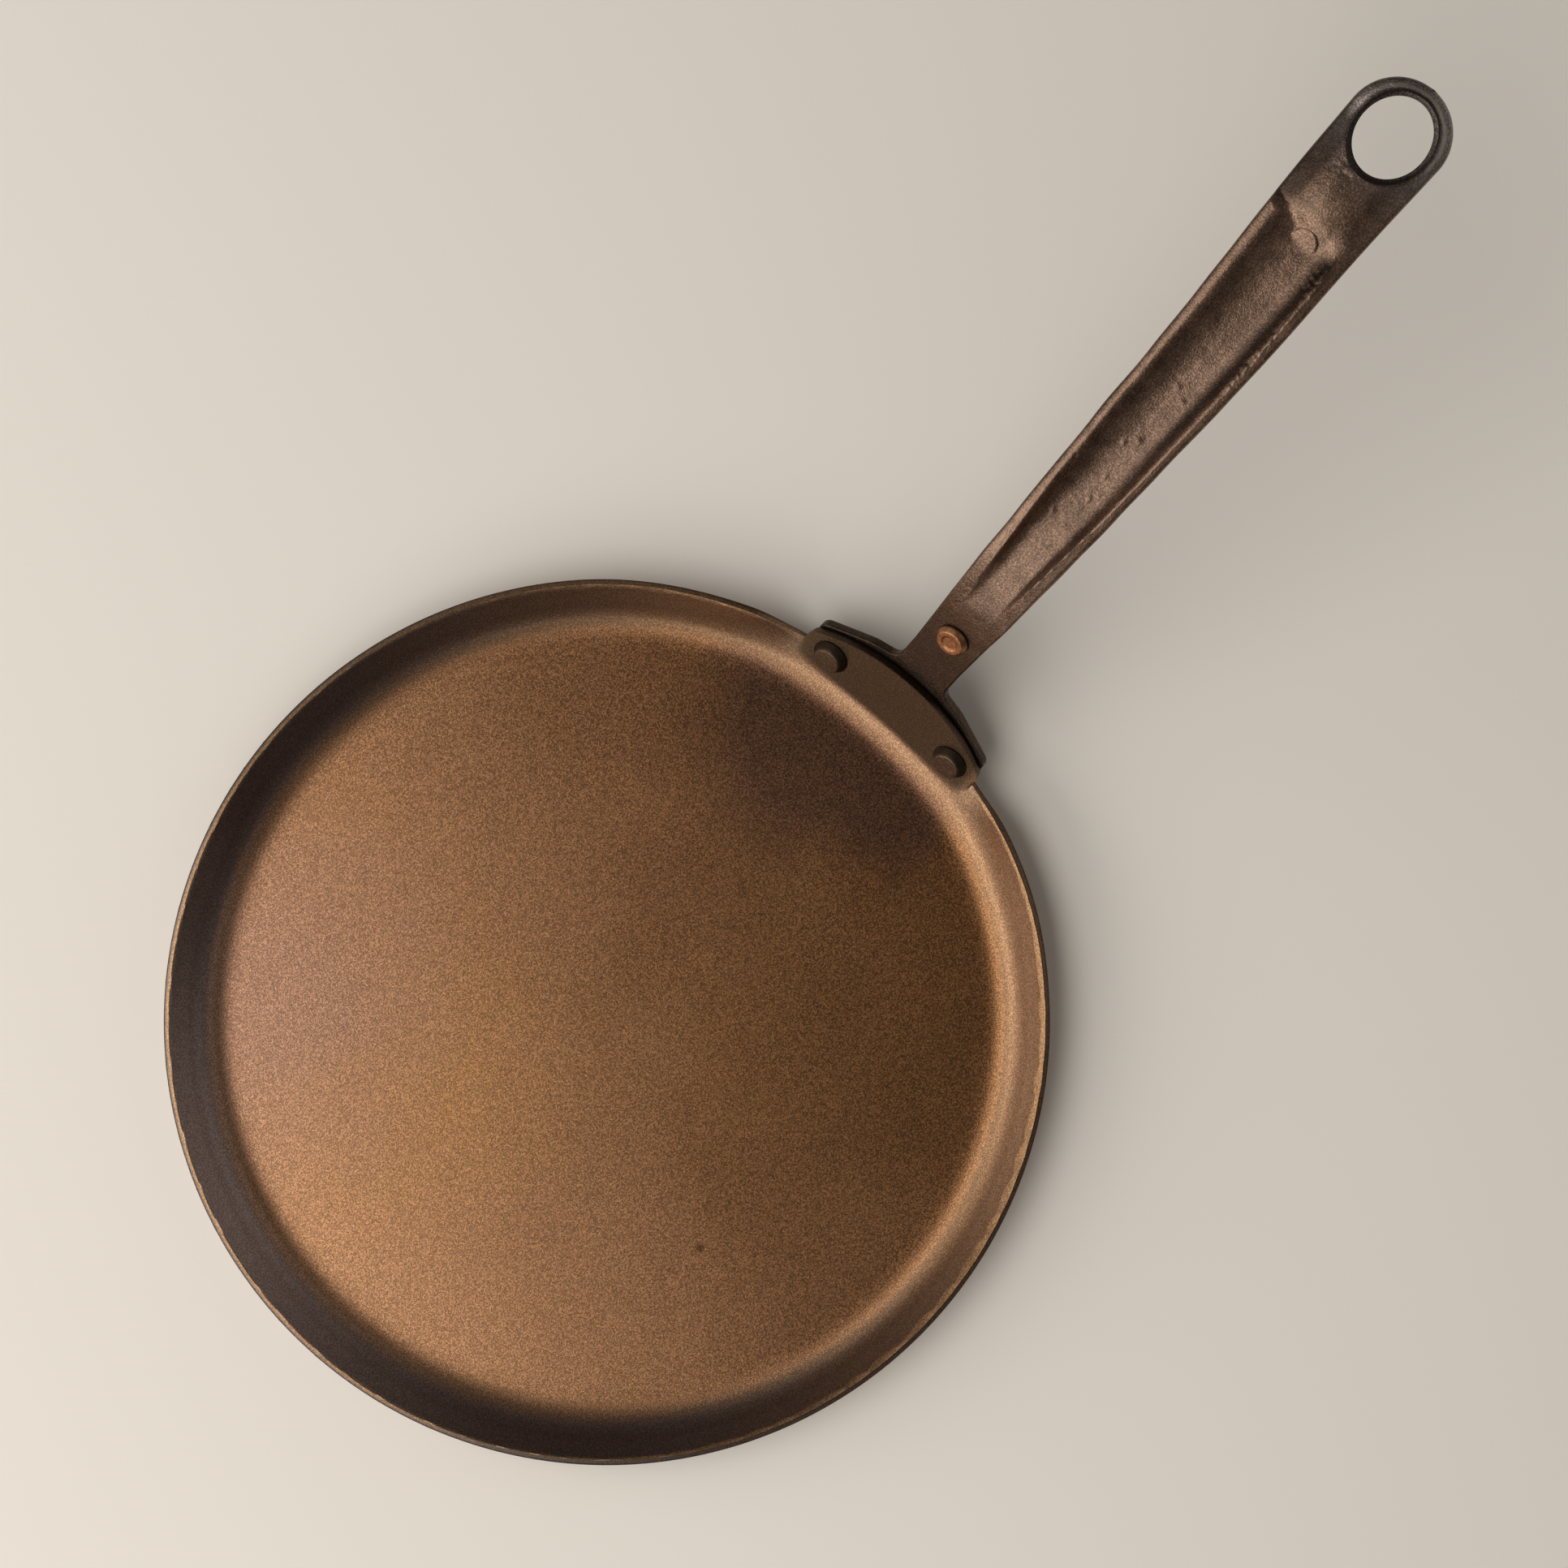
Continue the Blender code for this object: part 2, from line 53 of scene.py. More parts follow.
EAR_OUTWARD = Vector((sin(EAR_SLOPE), 0, -cos(EAR_SLOPE)))
EAR_CREASE_SLOPE = radians(36)
EAR_HALF_WIDTH = 0.0303
EAR_HEIGHT = 0.0206
EAR_NOTCH_HEIGHT = 0.0056
EAR_TOP_RADIUS = 0.048
EAR_CORNER_RADIUS = 0.004
WALL_BLEND_WIDTH = 0.016
RIM_DRAW_IN_ANGLE = radians(24)

# The bend as it shows: it starts gently, ends steep at the wall and low at the ear's crease.
WALL_END_SLOPE = radians(52)
CREASE_END_SLOPE = radians(36)
CREASE_SINK = 0.0006
BEND_ONSET = 3.0
BEND_START_RADIUS = 0.0968
BEND_TOP_RADIUS = 0.1142
CREASE_STRAIGHTNESS = 0.4
CREASE_FADE = (radians(9), radians(18))
RIM_MARGIN = 0.00007
INNER_RIM_RADIUS = RIM_RADIUS - SHEET * sin(WALL_END_SLOPE) + RIM_MARGIN
ARC_TOP_HEIGHT = SHEET + FLOOR_BEND_RADIUS * (1 - cos(WALL_SLOPE))
ARC_REACH = SHEET * sin(WALL_SLOPE) + (PAN_HEIGHT - ARC_TOP_HEIGHT) / tan(WALL_SLOPE)
ARC_TOP_RADIUS = RIM_RADIUS - ARC_REACH
FLOOR_RADIUS = ARC_TOP_RADIUS - FLOOR_BEND_RADIUS * sin(WALL_SLOPE)
BEND_TOP_HEIGHT = PAN_HEIGHT - (INNER_RIM_RADIUS - BEND_TOP_RADIUS) * tan(WALL_END_SLOPE)
CREASE_X = FLOOR_RADIUS + FLOOR_BEND_RADIUS * sin(EAR_CREASE_SLOPE)
CREASE_Z = SHEET + FLOOR_BEND_RADIUS * (1 - cos(EAR_CREASE_SLOPE))
FLAT_ANGLE = atan2(EAR_HALF_WIDTH - EAR_CORNER_RADIUS, CREASE_X)
ROUND_ANGLE = atan2(EAR_HALF_WIDTH + WALL_BLEND_WIDTH, CREASE_X)

# Handle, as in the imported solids.
SEAT_GAP = 0.0003
PLATE_THICKNESS = 0.0026
BRACKET_HALF_WIDTH = 0.0291
BRACKET_LOWER_EDGE = 0.0015
BRACKET_CORNER_RADIUS = 0.003
BRACKET_SHOULDER_HEIGHT = 0.0122
SHOULDER_KNEE_HALF_WIDTH = 0.0157
SHOULDER_KNEE_HEIGHT = 0.0200
SHOULDER_KNEE_RADIUS = 0.010
NECK_START_HEIGHT = 0.0225
NECK_FILLET_RADIUS = 0.0040
NECK_HALF_WIDTH = 0.0079
NECK_LENGTH = 0.0534
NECK_BEND_RADIUS = 0.071
GRIP_START_SLOPE = radians(20)
GRIP_BOW_RADIUS = 0.660
RING_SLOPE = radians(10)
TAPER_START = 0.034
TAPER_SWELL = 0.3
RING_OFFSET = 0.0119
RING_HALF_WIDTH = 0.0139
RING_HALF_LENGTH = 0.01372
RING_HOLE_SHIFT = 0.0014
RING_HOLE_HALF_WIDTH = 0.0094
RING_HOLE_HALF_LENGTH = 0.0107
RING_HOLE_BEVEL = 0.0018
TROUGH_START = 0.058
TROUGH_RUN_IN = 0.024
TROUGH_END = 0.192
TROUGH_RUN_OUT = 0.006
TROUGH_DEPTH = 0.0040
RIB_WIDTH = 0.0032
RIB_HEIGHT = 0.0015
GRIP_WALL = 0.0035
BOWL_POWER = 2.5
RING_THICKNESS = 0.0055
NECK_BEND_END = NECK_LENGTH + NECK_BEND_RADIUS * (EAR_SLOPE - GRIP_START_SLOPE)
GRIP_END = NECK_BEND_END + GRIP_BOW_RADIUS * (GRIP_START_SLOPE - RING_SLOPE)
RING_CENTRE = GRIP_END + RING_OFFSET

# The trough's section: how fast its sides rise at its start, on the left and on the right,
# where its floor lies across, and how far its ribs' crests lie in from the sides.
TROUGH_POWER = (7.0, 2.6, 3.6)
TROUGH_MIDDLE = -0.0010
RIB_INSET_ALONG = (0.075, 0.105, 0.130, 0.180)
RIB_INSET = (0.0036, 0.0026, 0.0026, 0.0033)
RIB_OUTER_SLOPE = 0.34
RIB_ROUNDING = 0.0018

# The lip that ends the trough: where it starts and how far it runs, at places across.
LIP_ACROSS = (-0.0120, -0.0090, -0.0050, -0.0020, 0.0015, 0.0035, 0.0060, 0.0100, 0.0120)
LIP_START = (0.1740, 0.1845, 0.1850, 0.1840, 0.1845, 0.1886, 0.1895, 0.1893, 0.1900)
LIP_RUN = (0.0190, 0.0070, 0.0085, 0.0110, 0.0110, 0.0055, 0.0042, 0.0040, 0.0040)
TONGUE_CENTRE = (0.1880, -0.0004)
TONGUE_REACH = (0.0032, 0.0036)
TONGUE_STEP = 0.00045

# The crown past the lip. Each pair is (start, run) of a change along or across the handle.
CROWN_FALL = 0.0026
HUMP_FALL = 0.0032
HUMP = (0.186, 0.020)
HUMP_SIDE_FALL = 0.6
HUMP_FROM_RIGHT = (-0.0105, 0.006)
RIDGE_ACROSS = 0.0018
RIDGE_WIDTH = 0.0072
RIDGE_HEIGHT = 0.0013
RIDGE_BEGINS = (0.186, 0.008)
RIDGE_ENDS = (0.198, 0.014)

# Forging marks: the outline's wave, lumps (along, across, reach, height) on the trough's
# floor, and pitted patches (along, across, reach along, reach across, depth).
OUTLINE_WAVE = 0.00022
FORGED_LUMPS = (
    (0.0739, -0.0046, 0.0009, 0.00022),
    (0.0958, 0.0030, 0.0007, 0.00026),
    (0.1041, -0.0020, 0.0008, 0.00026),
    (0.1064, -0.0033, 0.0007, 0.00022),
    (0.1111, -0.0014, 0.0008, 0.00026),
    (0.1211, 0.0011, 0.0007, 0.00030),
    (0.1239, -0.0014, 0.0008, 0.00030),
    (0.1384, -0.0034, 0.0008, 0.00026),
    (0.1407, -0.0001, 0.0007, 0.00026),
)
PITTED_PATCHES = (
    (0.0590, 0.0058, 0.0070, 0.0009, 0.00018),
    (0.1815, -0.0087, 0.0050, 0.0016, 0.00040),
    (0.1590, -0.0093, 0.0120, 0.0008, 0.00045),
    (0.2070, 0.0036, 0.0022, 0.0040, 0.00025),
    (0.1110, 0.0078, 0.0030, 0.0008, 0.00030),
    (0.1000, -0.0020, 0.0300, 0.0050, 0.00006),
)

# Painted shade in the groove inside the right rib, and painted shade on banks (across, width,
# depth) on the crown.
GROOVE_INSET = 0.0048
GROOVE_WIDTH = (0.0014, 0.0024)
SHADED_BANKS = ((0.0112, 0.0036, 1.6), (-0.0080, 0.0030, 0.6))

# Wear and painted highlight of the left rib against the right one's, painted shade on the left
# and right outer edge, and a painted highlight along the crest round the ring.
LEFT_RIB_WEAR_AND_LIGHT = 0.72
BRINK_SHADE = (0.8, 0.3)
RING_CREST_INSET = 0.0022
RING_CREST_WIDTH = 0.0006

# Rounding of the edges at the neck, the grip and the ring.
EDGE_ROUNDING = (0.0006, 0.0009, 0.00095)

# How far the ear, neck and grip sit to the right of the middle plane: up to PLAN_BOW,
# growing and fading over (start, run) pairs.
PLAN_BOW = 0.0013
BOW_BEGINS = (0.085, 0.03)
BOW_ENDS = (0.228, 0.055)

# Rivets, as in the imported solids.
WALL_RIVET_SPACING = 0.043
WALL_RIVET_HEIGHT = 0.0072
WALL_RIVET_RADIUS = 0.0036
WALL_RIVET_END_RADIUS = 0.0037
WALL_RIVET_COLLAR_RADIUS = 0.0053
WALL_RIVET_STUB = 0.0027
WALL_RIVET_HEAD_RADIUS = 0.0066
WALL_RIVET_HEAD_HEIGHT = 0.0036
COPPER_PLACE = 0.0439
COPPER_SHANK_RADIUS = 0.0024
COPPER_HEAD_RADIUS = 0.0047
COPPER_HEAD_HEIGHT = 0.0019
COPPER_BEVEL_WIDTH = 0.00095
COPPER_SIDE_HEIGHT = 0.0005
COPPER_DISH_RADIUS = 0.0025
COPPER_DISH_FLOOR_RADIUS = 0.0020
COPPER_DISH_DEPTH = 0.0004
COPPER_TAIL_RADIUS = 0.0036
COPPER_TAIL_HEIGHT = 0.0012

# Hand-ground rim. Azimuths are the picture's, in degrees, with +X at PICTURE_TURN, and
# GROUND_WIDE, GROUND_HIGH and GROUND_SIDE_LIT are (azimuth, reach). GROUND_FACE is the lit
# face's least width and its share of the bevel's.
PICTURE_TURN = 48.5
RIM_ROUNDING = 0.00035
RIM_LINE_WIDTH = 0.0001
RIM_MIDDLE_SHARE = 0.38
GROUND_FACE = (0.0002, 0.12)
GROUND_WIDTH = (0.0004, 0.0027)
GROUND_WIDE = (335, 75)
GROUND_HIGH_WIDTH = 0.0010
GROUND_HIGH = (88, 50)
GROUND_SIDE_LIT = (350, 80)
SCALLOP_PITCH = 5.3
SCALLOP_SHARES = (0.35, 1.15)

# Painted light on the pan: the way across the floor towards the lamps, along which it is painted
# lighter and golden, partly the patina's real tone; and its patches, the first lighter on the lit
# side and the second darker on the far side as painted light and shade, each
# (centre, radius, (mask low, mask high, strength), colour).
LAMP_SIDE_WAY = (-0.917, 0.399, 0)
LIGHT_AND_PATINA_PATCHES = (
    ((-0.045, 0.030, 0), 0.055, (0.0, 1.0, 0.7), (0.50, 0.240, 0.088)),
    ((0.030, -0.045, 0), 0.070, (0.0, 1.0, 0.5), (0.30, 0.135, 0.042)),
    ((-0.058, 0.072, 0.003), 0.06, (0.0, 1.0, 0.7), (0.42, 0.225, 0.145)),
    ((0.108, 0.004, 0.003), 0.052, (0.08, 0.5, 0.72), (0.150, 0.072, 0.044)),
    ((-0.0303, -0.0600, 0.0023), 0.0016, (0.0, 1.0, 0.8), (0.10, 0.035, 0.012)),
)

# Mesh fineness.
TURN_STEP = radians(7)
EAR_STEP = 0.0008
RIM_STEP = 0.0010
AROUND_EASING = 24
FLOOR_ROWS = 8
BEND_ROWS = 24
WALL_ROWS = 14
GRIP_STEP = 0.00045
LIP_STEP = 0.00025
LIP_FINE = (0.181, 0.194)
TIP_ROWS = 30
TOP_COLUMNS = 72
EDGE_COLUMNS = 6
UNDERSIDE_COLUMNS = 28
RIVET_SIDES = 96
ROUNDING_STEPS = 4
SHARP_ANGLE = radians(40)


def smooth(value):
    value = np.clip(value, 0.0, 1.0)
    return value * value * (3 - 2 * value)


def rise(value, start, run):
    """0 before start, 1 past start + run, and smooth between."""
    return smooth((value - start) / run)


def blend(start, end, share):
    return start + (end - start) * share


# ---- pan


def ear_point(across, up, depth=0.0):
    """A point of the ear's plane: across Y, up its slope from the crease, depth outward."""
    x = CREASE_X + up * cos(EAR_SLOPE) + depth * sin(EAR_SLOPE)
    z = CREASE_Z + up * sin(EAR_SLOPE) - depth * cos(EAR_SLOPE)
    return Vector((x, across, z))


def ear_outline():
    """(across, up) points of half the ear's edge, from the middle of its top to the notch."""
    arch_centre = EAR_HEIGHT - EAR_TOP_RADIUS
    corner_across = EAR_HALF_WIDTH - EAR_CORNER_RADIUS
    reach = EAR_TOP_RADIUS - EAR_CORNER_RADIUS
    corner_up = arch_centre + sqrt(reach**2 - corner_across**2)
    arch_angle = asin(corner_across / reach)
    points = []
    count = ceil(EAR_TOP_RADIUS * arch_angle / EAR_STEP)
    for index in range(count):
        angle = arch_angle * index / count
        points.append((EAR_TOP_RADIUS * sin(angle), arch_centre + EAR_TOP_RADIUS * cos(angle)))
    count = ceil((pi / 2 - arch_angle) / TURN_STEP)
    for index in range(count + 1):
        angle = blend(arch_angle, pi / 2, index / count)
        across = corner_across + EAR_CORNER_RADIUS * sin(angle)
        points.append((across, corner_up + EAR_CORNER_RADIUS * cos(angle)))
    side = points[-1][1]
    count = ceil((side - EAR_NOTCH_HEIGHT) / EAR_STEP)
    for index in range(1, count + 1):
        points.append((EAR_HALF_WIDTH, blend(side, EAR_NOTCH_HEIGHT, index / count)))
    return points


def rim_point(angle):
    """The inner rim corner at an azimuth. The rim dips and draws in beside the ear's notch."""
    notch = ear_point(EAR_HALF_WIDTH, EAR_NOTCH_HEIGHT)
    notch_angle = atan2(notch.y, notch.x)
    past = abs(angle) - notch_angle
    radius = blend(hypot(notch.x, notch.y), INNER_RIM_RADIUS, smooth(past / RIM_DRAW_IN_ANGLE))
    height = blend(notch.z, PAN_HEIGHT, smooth(past / (ROUND_ANGLE - notch_angle)))
    return Vector((radius * cos(angle), radius * sin(angle), height))


def sheet_columns():
    """(azimuth of the bend, top point) for each column round the pan, ear first."""
    outline = ear_outline()
    lengths = [0.0]
    for before, after in zip(outline, outline[1:]):
        lengths.append(lengths[-1] + hypot(after[0] - before[0], after[1] - before[1]))
    half = []
    for length, (across, up) in zip(lengths, outline):
        foot = EAR_HALF_WIDTH * length / lengths[-1]
        half.append((atan2(foot, CREASE_X), ear_point(across, up)))
    notch = half[-1][1]
    start = atan2(notch.y, notch.x)
    count = ceil((pi - start) * RIM_RADIUS / RIM_STEP)
    for index in range(1, count + 1):
        angle = blend(start, pi, index / count)
        half.append((angle, rim_point(angle)))
    other = [(-angle, Vector((top.x, -top.y, top.z))) for angle, top in half[1:-1]]
    return half + other[::-1]


def bend_rises(slope):
    """Shares of the bend's rise at even steps outward. Its slope grows slowly, then fast."""
    steps = (np.arange(BEND_ROWS) + 0.5) / BEND_ROWS
    rises = np.cumsum(np.tan(slope * smooth(steps) ** BEND_ONSET))
    return [0.0, *(rises / rises[-1])]


def bend_column(angle):
    """The inner surface from the pan's centre over the bend at one azimuth."""
    flat = 1 - rise(abs(angle), *CREASE_FADE)
    straight = CREASE_X * (1 + CREASE_STRAIGHTNESS * (1 / cos(angle) - 1)) if flat else 0.0
    radius = blend(BEND_TOP_RADIUS, straight, flat)
    height = blend(BEND_TOP_HEIGHT, CREASE_Z - CREASE_SINK, flat)
    slope = blend(WALL_END_SLOPE, CREASE_END_SLOPE, flat)
    reaches = [BEND_START_RADIUS * sqrt(row / FLOOR_ROWS) for row in range(FLOOR_ROWS)]
    points = [(reach * cos(angle), reach * sin(angle), SHEET) for reach in reaches]
    for row, share in enumerate(bend_rises(slope)):
        out = blend(BEND_START_RADIUS, radius, row / BEND_ROWS)
        points.append((out * cos(angle), out * sin(angle), blend(SHEET, height, share)))
    return points


def photo_azimuth(point):
    """Azimuth in degrees round the pan, seen from above, from the picture's right."""
    return (degrees(atan2(point.y, point.x)) + PICTURE_TURN) % 360


def nearness(azimuth, middle, reach):
    """1 at the middle azimuth, falling evenly to 0 at its reach and below 0 past it."""
    return 1 - abs((azimuth - middle + 180) % 360 - 180) / reach


def ground_width(azimuth):
    """How far the hand-ground bevel reaches down the wall at an azimuth, scallop by scallop."""
    wide = blend(*GROUND_WIDTH, smooth(nearness(azimuth, *GROUND_WIDE)))
    high = GROUND_HIGH_WIDTH * smooth(nearness(azimuth, *GROUND_HIGH))
    cell = azimuth / SCALLOP_PITCH + 0.8 * noise.noise(Vector((azimuth / 9, 0.3, 0)))
    share = cell % 1
    lift = 0.5 + 0.5 * noise.cell(Vector((cell, 4.7, 0)))
    scallop = (1 - (2 * share - 1) ** 2) * blend(0.4, 1.0, lift)
    return (wide + high) * blend(*SCALLOP_SHARES, scallop)


def pan_sheet(material):
    """The whole sheet: inner surface, cut rim and outer surface as rows of one closed skin."""
    columns = sheet_columns()
    inner, widths = [], []
    for angle, top in columns:
        column = [Vector(point) for point in bend_column(angle)]
        foot = column[-1]
        on_ear = abs(angle) < FLAT_ANGLE * 1.1
        width = RIM_LINE_WIDTH if on_ear else ground_width(photo_azimuth(top))
        widths.append(width)
        reach = 1 - width / (top - foot).length
        shares = [(row / WALL_ROWS) ** 1.5 for row in range(1, WALL_ROWS + 1)]
        column += [foot.lerp(top, reach * share) for share in shares]
        column.append(top)
        inner.append(column)
    inner = np.array(inner)
    crease = FLOOR_ROWS + BEND_ROWS
    beside = (inner[:, crease - 5 : crease + 4] + inner[:, crease - 3 : crease + 6]) / 2
    near = inner[:, crease - 4 : crease + 5]
    near[:] = (near + beside) / 2
    hold = smooth(np.arange(inner.shape[1] - crease) / (WALL_ROWS - 3.0))
    share = 0.5 * np.concatenate([np.ones(crease), 1 - hold])[None, :, None]
    for _ in range(AROUND_EASING):
        beside = (np.roll(inner, -1, 0) + np.roll(inner, 1, 0)) / 2
        inner = blend(inner, beside, share)
    around = np.roll(inner, -1, 0) - np.roll(inner, 1, 0)
    along = np.gradient(inner, axis=1)
    along[:, -2:] = (inner[:, -2] - inner[:, -3])[:, None]
    normal = np.cross(around, along)
    normal[:, :FLOOR_ROWS] = (0, 0, -1)
    normal /= np.linalg.norm(normal, axis=2, keepdims=True)
    outer = inner + normal * SHEET
    up = along[:, -1] / np.linalg.norm(along[:, -1], axis=1, keepdims=True)
    top, out = inner[:, -1], normal[:, -1]
    face = GROUND_FACE[0] + GROUND_FACE[1] * np.array(widths)[:, None]
    edge = [top + out * face, top + out * (face + RIM_LINE_WIDTH)]
    edge.append(top + out * blend(face, SHEET - RIM_ROUNDING, RIM_MIDDLE_SHARE))
    for turn in (0, pi / 6, pi / 3, pi / 2):
        depth = SHEET - RIM_ROUNDING * (1 - sin(turn))
        edge.append(top + out * depth - up * RIM_ROUNDING * (1 - cos(turn)))
    body = np.concatenate([inner[:, :-1], np.stack(edge, 1), outer[:, -2::-1]], axis=1)
    bm = wrapped_grid(body, rim_wear_and_light(columns, body.shape[:2], inner.shape[1] - 1))
    finished("pan_sheet", bm, material, "pan_body")


def rim_wear_and_light(columns, shape, top_row):
    """Wear and painted light on the sheet: the rim bright above 0, painted shade below it."""
    wear_and_light = np.zeros(shape)
    for index, (angle, top) in enumerate(columns):
        lit = smooth(0.6 + nearness(photo_azimuth(top), *GROUND_SIDE_LIT))
        beside_ear = rise(abs(angle), EAR_HALF_WIDTH / CREASE_X, 0.04)
        # The ground bevel: rubbed bright, with a painted highlight where it faces the lamps.
        wear_and_light[index, top_row - 1] = beside_ear * blend(0.1, 1.0, lit)
        wear_and_light[index, top_row] = blend(0.7, blend(0.75, 1.0, lit), beside_ear)
        # The edge face: painted highlight towards the lamps, painted shade away from them and
        # below.
        wear_and_light[index, top_row + 1] = blend(1.0, -1, lit)
        wear_and_light[index, top_row + 2] = blend(1.0, -0.55, lit)
        wear_and_light[index, top_row + 3 : top_row + 7] = -1
    return wear_and_light


# ---- shared mesh steps


def wrapped_grid(points, wear_and_light):
    """A grid bent into a closed skin through points[column][row], its seam and poles merged."""
    columns, rows = points.shape[:2]
    bm = bmesh.new()
    bmesh.ops.create_grid(bm, x_segments=columns, y_segments=rows - 1, size=0.5)
    layer = bm.verts.layers.float.new("wear_and_light")
    for vert in bm.verts:
        column = round((vert.co.x + 0.5) * columns) % columns
        row = round((vert.co.y + 0.5) * (rows - 1))
        vert.co = points[column, row]
        vert[layer] = wear_and_light[column, row]
    bmesh.ops.remove_doubles(bm, verts=bm.verts, dist=1e-6)
    bmesh.ops.recalc_face_normals(bm, faces=bm.faces)
    return bm


def plan_bow(x):
    return PLAN_BOW * rise(x, *BOW_BEGINS) * (1 - rise(x, *BOW_ENDS))


def linked(name, bm):
    """An object of the scene made from finished mesh data, which is freed."""
    mesh = bpy.data.meshes.new(name)
    bm.to_mesh(mesh)
    bm.free()
    made = bpy.data.objects.new(name, mesh)
    bpy.context.scene.collection.objects.link(made)
    return made


def finished(name, bm, material, node):
    """The piece that stands for a node, bowed in plan with its neighbours."""
    for vert in bm.verts:
        vert.co.y -= float(plan_bow(vert.co.x))
    piece = linked(name, bm)
    piece.data.shade_smooth()
    piece.data.set_sharp_from_angle(angle=SHARP_ANGLE)
    piece.data.materials.append(material)
    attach(piece, "root")
    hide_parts(node)
    return piece


def cut_away(piece, cutter):
    """Cuts the cutter's shape out of a piece for good, and drops the cutter."""
    modifier = piece.modifiers.new(cutter.name, "BOOLEAN")
    modifier.operation = "DIFFERENCE"
    modifier.object = cutter
    depsgraph = bpy.context.evaluated_depsgraph_get()
    uncut, piece.data = piece.data, bpy.data.meshes.new_from_object(piece.evaluated_get(depsgraph))
    piece.modifiers.clear()
    bpy.data.meshes.remove(uncut)
    bpy.data.objects.remove(cutter)


# ---- handle


def path_point(along):
    """(x, z, slope) of the handle's top line at a distance along it."""
    start = ear_point(0, 0, SHEET + SEAT_GAP)
    straight = min(along, NECK_LENGTH)
    x = start.x + straight * cos(EAR_SLOPE)
    z = start.z + straight * sin(EAR_SLOPE)
    slope = EAR_SLOPE
    bends = (
        (NECK_LENGTH, NECK_BEND_END, NECK_BEND_RADIUS),
        (NECK_BEND_END, GRIP_END, GRIP_BOW_RADIUS),
    )
    for begin, end, radius in bends:
        turn = (min(max(along, begin), end) - begin) / radius
        x += radius * (sin(slope) - sin(slope - turn))
        z += radius * (cos(slope - turn) - cos(slope))
        slope -= turn
    rest = max(along - GRIP_END, 0)
    return x + rest * cos(slope), z + rest * sin(slope), slope


def handle_frame(along, up):
    x, z, slope = path_point(along)
    place = Vector((x - up * sin(slope), 0, z + up * cos(slope)))
    return Matrix.Translation(place) @ Matrix.Rotation(-slope, 4, "Y")


def taper_half_width(along):
    share = np.clip((along - TAPER_START) / (RING_CENTRE - TAPER_START), 0, 1)
    share = share * (1 + TAPER_SWELL * (1 - share))
    return blend(NECK_HALF_WIDTH, RING_HALF_WIDTH, share)


def rounded_run(corners, step):
    """Points along straight runs through (along, half width, radius) corners, corners rounded."""
    points = [Vector(corners[0][:2])]
    for before, corner, after in zip(corners, corners[1:], corners[2:]):
        here = Vector(corner[:2])
        back = (Vector(before[:2]) - here).normalized()
        ahead = (Vector(after[:2]) - here).normalized()
        half_angle = back.angle(ahead) / 2
        centre = here + (back + ahead).normalized() * corner[2] / sin(half_angle)
        first = here + back * corner[2] / tan(half_angle) - centre
        turn = first.angle_signed(here + ahead * corner[2] / tan(half_angle) - centre)
        count = ceil(abs(turn) / TURN_STEP)
        for index in range(count + 1):
            points.append(centre + Matrix.Rotation(-turn * index / count, 2) @ first)
    points.append(Vector(corners[-1][:2]))
    run = [points[0]]
    for before, after in zip(points, points[1:]):
        count = max(1, ceil((after - before).length / step))
        run += [before.lerp(after, index / count) for index in range(1, count + 1)]
    return run


def handle_stations():
    """(along, half width) from the bracket's lower edge to the ring's tip, finely stepped."""
    lower = BRACKET_LOWER_EDGE
    corners = (
        (lower, 0, 0),
        (lower, BRACKET_HALF_WIDTH, BRACKET_CORNER_RADIUS),
        (BRACKET_SHOULDER_HEIGHT, BRACKET_HALF_WIDTH, BRACKET_CORNER_RADIUS),
        (SHOULDER_KNEE_HEIGHT, SHOULDER_KNEE_HALF_WIDTH, SHOULDER_KNEE_RADIUS),
        (NECK_START_HEIGHT, NECK_HALF_WIDTH, NECK_FILLET_RADIUS),
        (TAPER_START, NECK_HALF_WIDTH, 0),
    )
    run = rounded_run(corners, GRIP_STEP)
    run = [point for point in run if point.x > lower + 1e-7]
    stations = [(lower, run[0].y - 0.0004)] + [tuple(point) for point in run]
    runs = (
        (TAPER_START, LIP_FINE[0], GRIP_STEP),
        (*LIP_FINE, LIP_STEP),
        (LIP_FINE[1], RING_CENTRE, GRIP_STEP),
    )
    for begin, end, step in runs:
        count = ceil((end - begin) / step)
        for index in range(1, count + 1):
            along = blend(begin, end, index / count)
            stations.append((along, float(taper_half_width(along))))
    for index in range(1, TIP_ROWS + 1):
        angle = pi / 2 * index / TIP_ROWS
        along = RING_CENTRE + RING_HALF_LENGTH * sin(angle)
        stations.append((along, RING_HALF_WIDTH * cos(angle)))
    return np.array(stations)


def edge_share(along, across):
    """0 on the middle line and 1 on the outline, round the ring's end too."""
    past = np.maximum(along - RING_CENTRE, 0) / RING_HALF_LENGTH
    return np.hypot(across / taper_half_width(along), past)


def trough_section(along, across):
    """Height of the trough between its two ribs: a bowl that meets each rib's outer slope."""
    half = taper_half_width(along)
    crest = half - np.interp(along, RIB_INSET_ALONG, RIB_INSET)
    at_start, on_left, on_right = TROUGH_POWER
    settled = rise(along, TROUGH_START + 0.008, 0.050)
    power = blend(at_start, blend(on_right, on_left, rise(across, -0.002, 0.004)), settled)
    span = crest + np.where(across > TROUGH_MIDDLE, -TROUGH_MIDDLE, TROUGH_MIDDLE)
    climb = TROUGH_DEPTH * (np.abs(across - TROUGH_MIDDLE) / span) ** power
    bowl = RIB_HEIGHT - TROUGH_DEPTH + climb
    outer = RIB_HEIGHT - RIB_OUTER_SLOPE * (np.abs(across) - crest)
    overlap = np.maximum(RIB_ROUNDING - np.abs(bowl - outer), 0) / RIB_ROUNDING
    return np.minimum(bowl, outer) + (1 - overlap**2) * RIB_ROUNDING / 4


